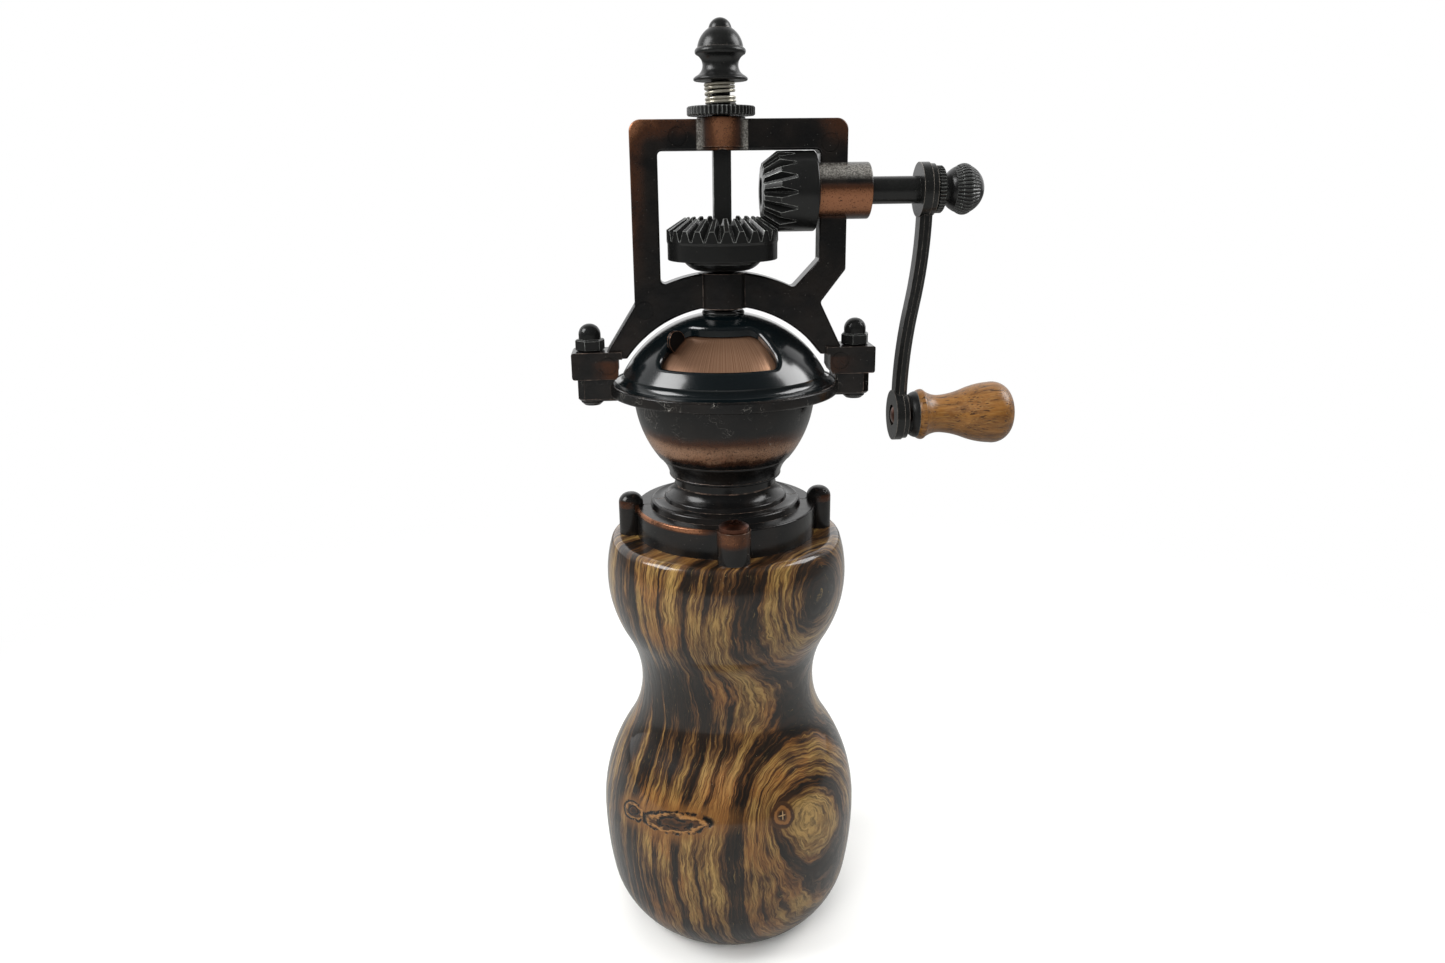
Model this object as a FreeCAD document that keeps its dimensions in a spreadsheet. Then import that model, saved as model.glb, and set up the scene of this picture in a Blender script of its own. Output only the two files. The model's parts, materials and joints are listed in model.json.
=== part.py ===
"""Hand-cranked spice mill: a turned wooden body under an open cast frame.

Millimetres, +Z up. The origin is the middle of the foot, on the axis of the vertical spindle.
The crank points along +X, and the fill window in the dome faces -Y.
Every driving dimension is a cell of the sheet "Dims", and everything else is worked out from those.
"""
import FreeCAD, Part
import math
import os
import Sketcher
from types import SimpleNamespace

DRIVING = {
    # turned wooden body
    "wood_height": 125.0, "foot_recess_radius": 19.85, "foot_recess_depth": 12.5,
    "belly_radius": 38.6, "belly_height": 37.5, "belly_lower_bend": 110.0,
    "foot_bend": 25.0, "foot_bend_height": 17.4,
    "waist_radius": 25.75, "waist_height": 80.0, "waist_bend": 30.0,
    "shoulder_radius": 34.75, "shoulder_height": 113.0, "lip_radius": 30.8, "lip_bend": 2.4,
    "chamber_radius": 13.5,
    # split collar on top of the body
    "collar_radius": 25.7, "collar_top": 133.3, "step_radius": 21.25, "step_top": 135.15,
    "bead_radius": 17.3, "bead_top": 136.6, "throat_radius": 13.7, "throat_top": 139.7,
    "parting_gap": 0.3, "lug_circle": 27.2, "lug_radius": 4.5, "lug_top": 134.1,
    "post_radius": 3.5, "post_top": 137.1, "screw_radius": 1.95, "screw_head_radius": 4.0,
    # bowl
    "bowl_foot_radius": 20.0, "bowl_foot_top": 127.6, "bowl_bore": 11.0, "neck_radius": 13.4,
    "neck_band_radius": 14.4, "bowl_lip_radius": 15.8, "bowl_lip_height": 142.4,
    "bowl_step_radius": 18.9, "bowl_step_height": 148.0, "bowl_mouth_radius": 25.3,
    "bowl_bend": 31.0, "rim_radius": 31.8, "rim_bottom": 166.2, "rim_top": 169.1,
    "ledge_radius": 30.9, "ledge_height": 168.2, "bowl_wall": 2.3,
    "ear_bolt_reach": 36.7, "bowl_ear_end": 40.4, "bowl_ear_width": 9.0, "bowl_ear_bottom": 164.7,
    # dome cover and shutter
    "dome_radius": 31.9, "dome_centre": 156.2, "dome_wall": 1.0, "brim_radius": 30.7,
    "dome_hole": 5.1, "window_inner": 13.0, "window_outer": 23.4, "window_half_angle": 43.0,
    "window_turn": 9.0, "window_corner": 2.6, "window_lip": 1.1, "window_lip_depth": 2.2,
    "shutter_radius": 29.2, "shutter_wall": 0.7, "shutter_half_angle": 46.0,
    "shutter_turn": 9.0, "tab_turn": 48.3, "tab_circle": 16.6,
    "shutter_hem": 25.6, "tab_width": 5.6, "tab_reach": 4.4,
    # cast frame
    "frame_half_thickness": 3.5, "frame_top": 237.8, "frame_corner": 3.0,
    "left_outer": 24.1, "left_inner": 16.9, "right_outer": 33.1, "right_inner": 25.8,
    "bar_bottom": 230.0, "left_knee": 190.7, "left_foot_reach": 32.7, "right_knee": 199.0,
    "right_notch_reach": 26.4, "right_notch_height": 190.3, "right_foot_reach": 32.7,
    "window_knee_reach": 19.0, "window_knee_height": 201.7,
    "arch_inner": 32.8, "arch_outer": 42.0, "arch_centre": 157.0,
    "ear_bottom": 170.8, "ear_top": 178.2, "ear_end": 41.8, "ear_half_depth": 5.0,
    "top_boss_radius": 6.4, "top_boss_bottom": 230.9, "top_boss_top": 238.3,
    "lower_boss_radius": 6.65, "lower_boss_bottom": 189.2, "lower_boss_top": 198.6,
    "crank_boss_radius": 7.37, "crank_boss_start": 25.3, "crank_boss_end": 39.3,
    "crank_height": 219.45, "boss_bore": 3.45, "mark_radius": 2.5, "mark_depth": 0.25,
    # ear bolts and acorn nuts
    "bolt_radius": 2.0, "bolt_head_radius": 3.1, "bolt_head_height": 1.5, "nut_flats": 7.0,
    "bolt_end": 184.0, "nut_hex_top": 181.4, "nut_dome_radius": 3.0, "nut_top": 185.5,
    # spindle, adjusting nut, spring and finial
    "bar_side": 4.7, "square_top": 236.0, "spindle_bottom": 3.0, "thread_radius": 2.45,
    "adjust_radius": 8.9, "adjust_bottom": 238.6, "adjust_top": 240.9, "adjust_ribs": 48.0,
    "spring_radius": 3.5, "spring_wire": 0.42, "spring_turns": 4.0, "finial_bottom": 247.1,
    "finial_flange": 7.0, "finial_neck": 4.7, "finial_rim": 6.65, "finial_ball": 3.0,
    "finial_top": 262.2,
    # bevel gears
    "gear_teeth": 24.0, "pinion_teeth": 16.0, "gear_tip_angle": 57.8, "gear_root_angle": 51.0,
    "pinion_tip_angle": 35.3, "pinion_root_angle": 28.7, "gear_radius": 15.0,
    "gear_inner": 10.15, "gear_skirt": 14.8, "gear_skirt_bottom": 202.05, "gear_hub": 7.3,
    "gear_hub_bottom": 199.3, "pinion_radius": 10.4, "pinion_front": 10.4, "pinion_back": 24.7,
    "gear_space": 0.66, "pinion_space": 0.66, "root_width": 0.16,
    "roll_pin_radius": 1.0, "pin_inset": 2.6,
    # crank
    "shaft_radius": 3.6, "shaft_stub": 2.45, "arm_face": 53.0, "arm_boss_radius": 7.2,
    "arm_boss_length": 4.0, "arm_thickness": 3.4, "arm_width": 6.4, "throw": 61.95,
    "arm_low_face": 48.0, "ring_start": 57.4, "ring_end": 59.4, "ring_radius": 6.2,
    "ball_start": 60.0, "ball_centre": 65.3, "ball_radius": 6.16, "ball_end": 70.9,
    "ball_neck": 3.9, "ball_ribs": 40.0,
    # knob
    "pin_radius": 1.95, "pin_head_radius": 2.8, "ferrule_start": 52.8, "ferrule_end": 54.8,
    "knob_bead": 7.2, "knob_neck": 5.4, "knob_bulge": 8.7, "knob_end": 83.1,
    # burr set in the foot
    "plate_bottom": 0.8, "plate_top": 2.0, "stator_top": 11.0, "stator_radius": 19.6,
    "stator_low_bore": 11.7, "stator_high_bore": 13.3, "rotor_low": 10.9, "rotor_high": 8.2,
    "rotor_top": 10.0, "burr_flutes": 12.0, "bridge_bottom": 11.15, "bridge_top": 12.4,
    "bridge_width": 8.0, "plate_screws": 3.0, "plate_screw_circle": 16.2, "plate_screw_radius": 1.4,
}

TOUCH = 0.05        # gap between two faces of one assembly that bear on each other
RUNNING = 0.06      # gap round a shaft or pin that turns in its bore
HOLE_ROOM = 0.15    # gap round a screw or bolt in its clearance hole
GLUED = 0.02        # gap between pieces that are pressed or glued together
THROUGH = 40        # length of a cut that passes right through a piece
FULL_CIRCLE = 360.0
Z_AXIS = FreeCAD.Vector(0, 0, 1)
ALONG_X = FreeCAD.Rotation(FreeCAD.Vector(0, 1, 0), 90)      # turns a piece's own Z towards +X

doc = FreeCAD.newDocument("spice_mill")


# ---------------------------------------------------------------- sizes that stay bound to the sheet

class Size:
    """A number together with the sheet formula that it comes from."""

    def __init__(self, number, formula=None):
        self.number = float(number)
        self.formula = formula or repr(float(number))

    def _join(self, other, sign, result):
        return Size(result, "(%s %s %s)" % (self.formula, sign, as_size(other).formula))

    def __add__(self, other):
        return self._join(other, "+", self.number + as_size(other).number)

    def __sub__(self, other):
        return self._join(other, "-", self.number - as_size(other).number)

    def __mul__(self, other):
        return self._join(other, "*", self.number * as_size(other).number)

    def __truediv__(self, other):
        return self._join(other, "/", self.number / as_size(other).number)

    def __radd__(self, other):
        return as_size(other) + self

    def __rsub__(self, other):
        return as_size(other) - self

    def __rmul__(self, other):
        return as_size(other) * self

    def __rtruediv__(self, other):
        return as_size(other) / self

    def __neg__(self):
        return 0 - self


def as_size(value):
    return value if isinstance(value, Size) else Size(value)


def root(value):
    return Size(math.sqrt(value.number), "sqrt(%s)" % value.formula)


def sine(angle):
    angle = as_size(angle)
    return Size(math.sin(math.radians(angle.number)), "sin(%s)" % angle.formula)


def cosine(angle):
    angle = as_size(angle)
    return Size(math.cos(math.radians(angle.number)), "cos(%s)" % angle.formula)


def tangent(angle):
    return sine(angle) / cosine(angle)


def leg(hypotenuse, other_leg):
    """The second short side of a right triangle."""
    return root(as_size(hypotenuse * hypotenuse) - other_leg * other_leg)


def crown(radius, rise):
    """The bend of a domed end that is centred on the piece's axis."""
    return (radius * radius + rise * rise) / (2 * rise)


def make_sheet():
    sheet = doc.addObject("Spreadsheet::Sheet", "Dims")
    for row, (alias, number) in enumerate(DRIVING.items(), start=1):
        sheet.set("A%d" % row, alias)
        sheet.set("B%d" % row, repr(number))
        sheet.setAlias("B%d" % row, alias)
    doc.recompute()
    return SimpleNamespace(**{alias: Size(number, "Dims." + alias)
                              for alias, number in DRIVING.items()})


D = make_sheet()


# ---------------------------------------------------------------- sketches and features

class Bend:
    """Turns the side between two corners into an arc; it swells left or right of the way drawn."""

    def __init__(self, radius, side):
        self.radius = as_size(radius)
        self.side = side


def new_body(label):
    body = doc.addObject("PartDesign::Body", label)
    body.Label = label
    return body


def new_sketch(body, role, raised=0):
    """A sketch on one of the body's own origin planes, raised along the plane's normal."""
    sketch = body.newObject("Sketcher::SketchObject", body.Label + "_sketch")
    plane = next(item for item in body.Origin.OriginFeatures if item.Role == role)
    sketch.AttachmentSupport = [(plane, "")]
    sketch.MapMode = "FlatFace"
    raised = as_size(raised)
    sketch.AttachmentOffset = FreeCAD.Placement(FreeCAD.Vector(0, 0, raised.number), FreeCAD.Rotation())
    sketch.setExpression("AttachmentOffset.Base.z", raised.formula)
    return sketch


def constrain(sketch, *definition, size=None):
    number = () if size is None else (size.number,)
    index = sketch.addConstraint(Sketcher.Constraint(*definition, *number))
    if size is not None:
        sketch.setExpression("Constraints[%d]" % index, size.formula)


def pin_point(sketch, side, end, across, up):
    constrain(sketch, "DistanceX", -1, 1, side, end, size=as_size(across))
    constrain(sketch, "DistanceY", -1, 1, side, end, size=as_size(up))


def arc_between(start, end, bend):
    """The minor arc from start to end that swells to the given side."""
    radius = bend.radius.number
    chord = end - start
    across = FreeCAD.Vector(-chord.y, chord.x, 0).normalize()
    inward = across if bend.side == "right" else -across
    centre = (start + end) * 0.5 + inward * math.sqrt(radius ** 2 - chord.Length ** 2 / 4)
    first, last = (start, end) if bend.side == "right" else (end, start)
    angles = [math.atan2(point.y - centre.y, point.x - centre.x) for point in (first, last)]
    circle = Part.Circle(centre, Z_AXIS, radius)
    return Part.ArcOfCircle(circle, *angles)


def draw_outline(sketch, outline):
    """Adds a closed outline of corners (across, up), with a Bend between those joined by an arc."""
    corners = [item for item in outline if not isinstance(item, Bend)]
    bends = {sum(not isinstance(item, Bend) for item in outline[:place]) - 1: item
             for place, item in enumerate(outline) if isinstance(item, Bend)}
    points = [FreeCAD.Vector(as_size(across).number, as_size(up).number, 0) for across, up in corners]
    first_side = sketch.GeometryCount
    ends = []
    for index, start in enumerate(points):
        end = points[(index + 1) % len(points)]
        bend = bends.get(index)
        sketch.addGeometry(arc_between(start, end, bend) if bend else Part.LineSegment(start, end))
        ends.append((2, 1) if bend and bend.side == "left" else (1, 2))
    for index, corner in enumerate(corners):
        side = first_side + index
        following = (index + 1) % len(corners)
        constrain(sketch, "Coincident", side, ends[index][1], first_side + following, ends[following][0])
        pin_point(sketch, side, ends[index][0], *corner)
        if index in bends:
            constrain(sketch, "Radius", side, size=bends[index].radius)
    return sketch


def draw_circle(sketch, across, up, radius):
    across, up, radius = as_size(across), as_size(up), as_size(radius)
    centre = FreeCAD.Vector(across.number, up.number, 0)
    side = sketch.GeometryCount
    sketch.addGeometry(Part.Circle(centre, Z_AXIS, radius.number))
    pin_point(sketch, side, 3, across, up)
    constrain(sketch, "Radius", side, size=radius)
    return sketch


def rectangle(left, bottom, right, top):
    return [(left, bottom), (right, bottom), (right, top), (left, top)]


def polygon(sides, flats, turn=0.0):
    """A regular polygon of the given width across flats, about the origin."""
    corner = flats / 2 / cosine(180 / sides)
    angles = [turn + FULL_CIRCLE / sides * step for step in range(sides)]
    return [(corner * cosine(angle), corner * sine(angle)) for angle in angles]


def feature(body, kind, sketch, length=None, **settings):
    made = body.newObject("PartDesign::" + kind, body.Label + "_" + kind.lower())
    made.Profile = sketch
    for name, value in settings.items():
        setattr(made, name, value)
    if length is not None:
        made.setExpression("Length", as_size(length).formula)
    sketch.Visibility = False
    doc.recompute()
    return made


def cut(body, sketch, length, **settings):
    """A pocket, checked to have removed something."""
    before = body.Tip.Shape.Volume
    made = feature(body, "Pocket", sketch, length, **settings)
    if made.Shape.Volume > before - 1e-3:
        raise RuntimeError("a pocket in %s cuts nothing" % body.Label)
    return made


def around(body, original, count):
    """Repeats a feature all the way round the body's own Z axis."""
    pattern = body.newObject("PartDesign::PolarPattern", body.Label + "_round")
    pattern.Originals = [original]
    axis = next(item for item in body.Origin.OriginFeatures if item.Role == "Z_Axis")
    pattern.Axis = (axis, [""])
    pattern.Angle = FULL_CIRCLE
    pattern.setExpression("Occurrences", as_size(count).formula)
    body.Tip = pattern
    doc.recompute()


def round_edges(body, radius, wanted, kind="Fillet"):
    """Rounds or chamfers the edges of the body's last feature that the test picks."""
    base = body.Tip
    names = ["Edge%d" % number for number, edge in enumerate(base.Shape.Edges, start=1) if wanted(edge)]
    if not names:
        raise RuntimeError("no edge to round on %s" % body.Label)
    made = body.newObject("PartDesign::" + kind, body.Label + "_" + kind.lower())
    made.Base = (base, names)
    made.setExpression("Radius" if kind == "Fillet" else "Size", as_size(radius).formula)
    doc.recompute()


def turned(label, outline, part_of_turn=FULL_CIRCLE):
    """A piece turned about its own Z axis from an outline of (radius, height) corners."""
    body = new_body(label)
    sketch = draw_outline(new_sketch(body, "XZ_Plane"), outline)
    feature(body, "Revolution", sketch, ReferenceAxis=(sketch, ["V_Axis"]), Angle=part_of_turn)
    return body


def place(piece, across=0, depth=0, up=0, rotation=FreeCAD.Rotation()):
    """Stands a piece in the assembly, with its place bound to the sheet."""
    sizes = {"x": as_size(across), "y": as_size(depth), "z": as_size(up)}
    piece.Placement = FreeCAD.Placement(
        FreeCAD.Vector(*[size.number for size in sizes.values()]), rotation)
    for letter, size in sizes.items():
        piece.setExpression("Placement.Base." + letter, size.formula)
    return piece


def group(label, pieces):
    """Identical loose pieces kept together as separate solids."""
    made = doc.addObject("Part::Compound", label)
    made.Links = pieces
    made.Label = label
    return made


def spot(edge):
    return edge.BoundBox.Center


def near(value, size, allowed=0.02):
    return abs(value - as_size(size).number) < allowed


def vertical(edge):
    return edge.BoundBox.XLength < 1e-4 and edge.BoundBox.YLength < 1e-4


# ---------------------------------------------------------------- wooden body and collar

def tangent_join(first_centre, first_radius, second_centre, second_radius, inside=False):
    """Where two circles touch, from the line through their centres."""
    share = first_radius / (first_radius - second_radius if inside else first_radius + second_radius)
    return [first + share * (second - first) for first, second in zip(first_centre, second_centre)]


def bulge_bend(radius, height):
    """The bend of a bulge that flows straight into the waist's hollow."""
    rise = radius - D.waist_radius
    run = height - D.waist_height
    return (rise * rise + run * run) / (2 * rise) - D.waist_bend


def make_wood_body():
    waist_centre = (D.waist_radius + D.waist_bend, D.waist_height)
    belly_bend = bulge_bend(D.belly_radius, D.belly_height)
    belly_centre = (D.belly_radius - belly_bend, D.belly_height)
    shoulder_bend = bulge_bend(D.shoulder_radius, D.shoulder_height)
    shoulder_centre = (D.shoulder_radius - shoulder_bend, D.shoulder_height)
    lower_centre = (D.belly_radius - D.belly_lower_bend, D.belly_height)
    foot_join_radius = lower_centre[0] + leg(D.belly_lower_bend, D.belly_height - D.foot_bend_height)
    foot_share = D.foot_bend / D.belly_lower_bend
    foot_centre = (foot_join_radius + foot_share * (lower_centre[0] - foot_join_radius),
                   D.foot_bend_height + foot_share * (D.belly_height - D.foot_bend_height))
    foot_radius = foot_centre[0] + leg(D.foot_bend, foot_centre[1])
    shoulder_end = D.wood_height - D.lip_bend * 0.75
    outline = [
        (D.chamber_radius, D.foot_recess_depth),
        (D.foot_recess_radius, D.foot_recess_depth),
        (D.foot_recess_radius, 0),
        (foot_radius, 0), Bend(D.foot_bend, "right"),
        (foot_join_radius, D.foot_bend_height), Bend(D.belly_lower_bend, "right"),
        (D.belly_radius, D.belly_height), Bend(belly_bend, "right"),
        tangent_join(belly_centre, belly_bend, waist_centre, D.waist_bend), Bend(D.waist_bend, "left"),
        tangent_join(waist_centre, D.waist_bend, shoulder_centre, shoulder_bend),
        Bend(shoulder_bend, "right"),
        (shoulder_centre[0] + leg(shoulder_bend, shoulder_end - D.shoulder_height), shoulder_end),
        Bend(D.lip_bend, "right"),
        (D.lip_radius, D.wood_height),
        (D.chamber_radius, D.wood_height),
    ]
    body = turned("wood_body", outline)
    pilots = new_sketch(body, "XY_Plane", D.wood_height)
    draw_circle(pilots, 0, -D.lug_circle, D.screw_radius + TOUCH)
    draw_circle(pilots, 0, D.lug_circle, D.screw_radius + TOUCH)
    cut(body, pilots, 9)
    plate_pilot = draw_circle(new_sketch(body, "XY_Plane", D.foot_recess_depth),
                              0, D.plate_screw_circle, D.plate_screw_radius + TOUCH)
    around(body, cut(body, plate_pilot, 6, Reversed=True), D.plate_screws)


def make_collar_half(label, turn):
    """Half of the stepped ring that clamps the bowl's foot to the wood."""
    seat = D.wood_height + TOUCH
    foot_room = D.bowl_foot_top + 0.15
    half_gap = D.parting_gap / 2
    body = turned(label, [
        (D.bowl_foot_radius + 0.2, seat),
        (D.collar_radius, seat),
        (D.collar_radius, D.collar_top - 0.5), Bend(0.5, "right"),
        (D.collar_radius - 0.5, D.collar_top),
        (D.step_radius + 0.4, D.collar_top),
        (D.step_radius, D.step_top - 0.6), Bend(0.7, "right"),
        (D.step_radius - 0.7, D.step_top), Bend(3.0, "left"),
        (D.bead_radius + 0.3, D.step_top + 0.1),
        (D.bead_radius, D.bead_top - 0.5), Bend(0.6, "right"),
        (D.bead_radius - 0.6, D.bead_top), Bend(4.0, "left"),
        (D.throat_radius + 0.8, D.throat_top),
        (D.throat_radius, D.throat_top),
        (D.throat_radius, foot_room),
        (D.bowl_foot_radius + 0.2, foot_room),
    ], part_of_turn=180.0)
    height = D.lug_top - seat
    lug = draw_circle(new_sketch(body, "XY_Plane", seat), 0, D.lug_circle, D.lug_radius)
    feature(body, "Pad", lug, height)
    lug_end = D.lug_circle + D.lug_radius
    parting = new_sketch(body, "XY_Plane", seat)
    draw_outline(parting, rectangle(-lug_end, -D.post_radius, lug_end, half_gap))
    cut(body, parting, THROUGH, Reversed=True)
    socket = draw_circle(new_sketch(body, "XY_Plane", seat), D.lug_circle, 0, D.post_radius + 0.25)
    cut(body, socket, THROUGH, Reversed=True)
    post = draw_circle(new_sketch(body, "XY_Plane", seat), -D.lug_circle, 0, D.post_radius)
    feature(body, "Pad", post, D.post_top - seat)
    round_edges(body, D.post_radius - 0.5, lambda edge: near(spot(edge).z, D.post_top)
                and near(edge.BoundBox.XLength, 2 * D.post_radius))
    bore = draw_circle(new_sketch(body, "XY_Plane", seat), 0, D.lug_circle, D.screw_radius + HOLE_ROOM)
    cut(body, bore, THROUGH, Reversed=True)
    place(body, rotation=FreeCAD.Rotation(Z_AXIS, turn))


def make_cross_screw(label, head_radius, head_height, shank_radius, shank_length):
    """A pan-head screw with a cross recess, standing on its shank's axis with the head at z = 0."""
    shoulder = head_height * 0.45
    body = turned(label, [
        (0, -shank_length), (shank_radius * 0.4, -shank_length),
        (shank_radius, -shank_length + shank_radius * 1.4), (shank_radius, 0),
        (head_radius, 0), (head_radius, shoulder),
        Bend(crown(as_size(head_radius), head_height - shoulder), "right"),
        (0, head_height),
    ])
    slot = new_sketch(body, "XY_Plane", head_height)
    arm, half = head_radius * 0.55, head_radius * 0.13
    draw_outline(slot, [(arm, -half), (arm, half), (half, half), (half, arm), (-half, arm),
                        (-half, half), (-arm, half), (-arm, -half), (-half, -half),
                        (-half, -arm), (half, -arm), (half, -half)])
    cut(body, slot, head_height * 0.75, TaperAngle=-12)
    return body


def make_collar_screws():
    seat = D.lug_top + TOUCH
    group("collar_screws", [
        place(make_cross_screw("collar_screw_%d" % number, D.screw_head_radius, as_size(2.4),
                               D.screw_radius, as_size(15.0)), 0, side * D.lug_circle, seat,
              FreeCAD.Rotation(Z_AXIS, 25 * side))
        for number, side in ((1, -1), (2, 1))])


# ---------------------------------------------------------------- bowl

def make_bowl():
    foot = D.wood_height + TOUCH
    wall = D.bowl_wall
    outline = [
        (D.bowl_bore, foot),
        (D.bowl_foot_radius, foot),
        (D.bowl_foot_radius, D.bowl_foot_top),
        (D.neck_radius, D.bowl_foot_top),
        (D.neck_radius, D.throat_top + TOUCH),
        (D.neck_band_radius, D.throat_top + TOUCH),
        (D.neck_band_radius, D.bowl_lip_height - 0.6),
        (D.bowl_lip_radius - 0.4, D.bowl_lip_height - 0.3), Bend(0.5, "right"),
        (D.bowl_lip_radius, D.bowl_lip_height + 0.5), Bend(9.0, "left"),
        (D.bowl_step_radius - 0.9, D.bowl_step_height - 0.9), Bend(1.2, "right"),
        (D.bowl_step_radius - 0.7, D.bowl_step_height),
        (D.bowl_step_radius, D.bowl_step_height), Bend(D.bowl_bend, "right"),
        (D.bowl_mouth_radius, D.rim_bottom),
        (D.rim_radius - 0.5, D.rim_bottom), Bend(0.5, "right"),
        (D.rim_radius, D.rim_bottom + 0.5),
        (D.rim_radius, D.rim_top - 0.4), Bend(0.4, "right"),
        (D.rim_radius - 0.4, D.rim_top),
        (D.ledge_radius, D.rim_top),
        (D.ledge_radius, D.ledge_height),
        (D.bowl_mouth_radius - wall, D.ledge_height),
        (D.bowl_mouth_radius - wall, D.rim_bottom), Bend(D.bowl_bend - wall, "left"),
        (D.bowl_step_radius - wall, D.bowl_step_height + 0.5),
        (D.bowl_bore, D.bowl_lip_height - 0.5),
    ]
    body = turned("bowl", outline)
    half = D.bowl_ear_width / 2
    inner = D.ledge_radius - 1.5
    corner = 1.8
    ears = new_sketch(body, "XY_Plane", D.bowl_ear_bottom)
    for side in (-1, 1):
        draw_outline(ears, [
            (side * inner, -half), (side * (D.bowl_ear_end - corner), -half),
            (side * D.bowl_ear_end, corner - half), (side * D.bowl_ear_end, half - corner),
            (side * (D.bowl_ear_end - corner), half), (side * inner, half)])
    feature(body, "Pad", ears, D.ear_bottom - TOUCH - D.bowl_ear_bottom)
    clear_rim = new_sketch(body, "XY_Plane", D.ledge_height)
    draw_circle(clear_rim, 0, 0, D.ledge_radius)
    cut(body, clear_rim, 10, Reversed=True)
    holes = new_sketch(body, "XY_Plane", D.bowl_ear_bottom)
    for side in (-1, 1):
        draw_circle(holes, side * D.ear_bolt_reach, 0, D.bolt_radius + HOLE_ROOM)
    cut(body, holes, THROUGH, Reversed=True)
    round_edges(body, 0.6, lambda edge: near(spot(edge).z, D.bowl_ear_bottom)
                and abs(spot(edge).x) > (D.rim_radius + 0.5).number and edge.Curve.TypeId == "Part::GeomLine",
                kind="Chamfer")


# ---------------------------------------------------------------- dome cover and shutter

def dome_height(radius, sphere_radius):
    return D.dome_centre + leg(as_size(sphere_radius), as_size(radius))


def sector(label, inner, outer, half_angle, turn, bottom, top, corner=None):
    """A solid block on a sector between two radii, facing -Y and turned towards -X by turn."""
    body = new_body(label)
    sketch = new_sketch(body, "XY_Plane", bottom)
    start, end = half_angle - turn - 90, -half_angle - turn - 90
    draw_outline(sketch, [
        (inner * cosine(start), inner * sine(start)), Bend(inner, "left"),
        (inner * cosine(end), inner * sine(end)),
        (outer * cosine(end), outer * sine(end)), Bend(outer, "right"),
        (outer * cosine(start), outer * sine(start)),
    ])
    feature(body, "Pad", sketch, top - bottom)
    if corner is not None:
        round_edges(body, corner, vertical)
    return body


def combine(kind, label, base, tool):
    made = doc.addObject("Part::" + kind, label)
    made.Base = base
    made.Tool = tool
    made.Label = label
    return made


def common(label, first, second):
    return combine("Common", label, first, second)


def make_dome_cover():
    """A pressed dome whose fill window has a turned-in edge."""
    brim = D.ledge_height + TOUCH
    wall = D.dome_wall
    inner_radius = D.dome_radius - wall
    flare = as_size(27.9)
    shell = turned("dome_shell", [
        (D.dome_hole, dome_height(D.dome_hole, inner_radius)),
        (D.dome_hole, dome_height(D.dome_hole, D.dome_radius)), Bend(D.dome_radius, "left"),
        (flare, dome_height(flare, D.dome_radius)), Bend(2.2, "right"),
        (D.brim_radius - 1.0, brim + wall),
        (D.brim_radius, brim + wall - 0.3),
        (D.brim_radius, brim),
        (flare - 0.2, brim), Bend(3.2, "left"),
        (flare - 1.1, dome_height(flare - 1.1, inner_radius)), Bend(inner_radius, "right"),
    ])
    lip = D.window_lip
    lip_angle = lip / D.window_outer * (180 / math.pi)
    bottom, top = as_size(160), as_size(195)
    thick = turned("window_lip_shell", [
        (D.dome_hole, dome_height(D.dome_hole, D.dome_radius - D.window_lip_depth)),
        (D.dome_hole, dome_height(D.dome_hole, D.dome_radius)), Bend(D.dome_radius, "left"),
        (flare, dome_height(flare, D.dome_radius)),
        (flare - 1.4, dome_height(flare - 1.4, D.dome_radius - D.window_lip_depth)),
        Bend(D.dome_radius - D.window_lip_depth, "right"),
    ])
    frame_block = sector("window_lip_block", D.window_inner - lip, D.window_outer + lip,
                         D.window_half_angle + lip_angle * 1.3, D.window_turn, bottom, top,
                         D.window_corner + lip)
    punch = sector("window_punch", D.window_inner, D.window_outer, D.window_half_angle,
                   D.window_turn, bottom, top, D.window_corner)
    lip_ring = common("window_lip", thick, frame_block)
    whole = combine("Fuse", "dome_blank", shell, lip_ring)
    opened = combine("Cut", "dome_opened", whole, punch)
    doc.recompute()
    rounded = doc.addObject("Part::Fillet", "dome_cover")
    rounded.Base = opened
    rounded.Label = "dome_cover"
    turned_in = 1.3
    centre = FreeCAD.Vector(0, 0, D.dome_centre.number)
    picked = []
    for number, edge in enumerate(opened.Shape.Edges, start=1):
        middle = edge.valueAt((edge.FirstParameter + edge.LastParameter) / 2)
        reach = math.hypot(middle.x, middle.y)
        on_skin = near((middle - centre).Length, D.dome_radius)
        in_window = (D.window_inner - 1).number < reach < (D.window_outer + 1).number
        if on_skin and in_window and edge.Length > 0.5:
            picked.append((number, turned_in, turned_in))
    rounded.Edges = picked


def make_dome_eyelet():
    """The tubular rivet that the shutter swivels on."""
    bore, tube = as_size(3.9), D.dome_hole - 0.08
    under = dome_height(tube + 1.5, D.shutter_radius - D.shutter_wall) - 0.15
    over = dome_height(D.dome_hole, D.dome_radius) + 0.05
    turned("dome_eyelet", [
        (bore, under - 0.7), (tube + 1.5, under - 0.7), (tube + 1.5, under), (tube, under),
        (tube, over), (tube + 0.8, over), Bend(0.7, "right"), (tube + 0.2, over + 0.8),
        (bore + 0.2, over + 0.8), (bore, over + 0.6),
    ])


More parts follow.
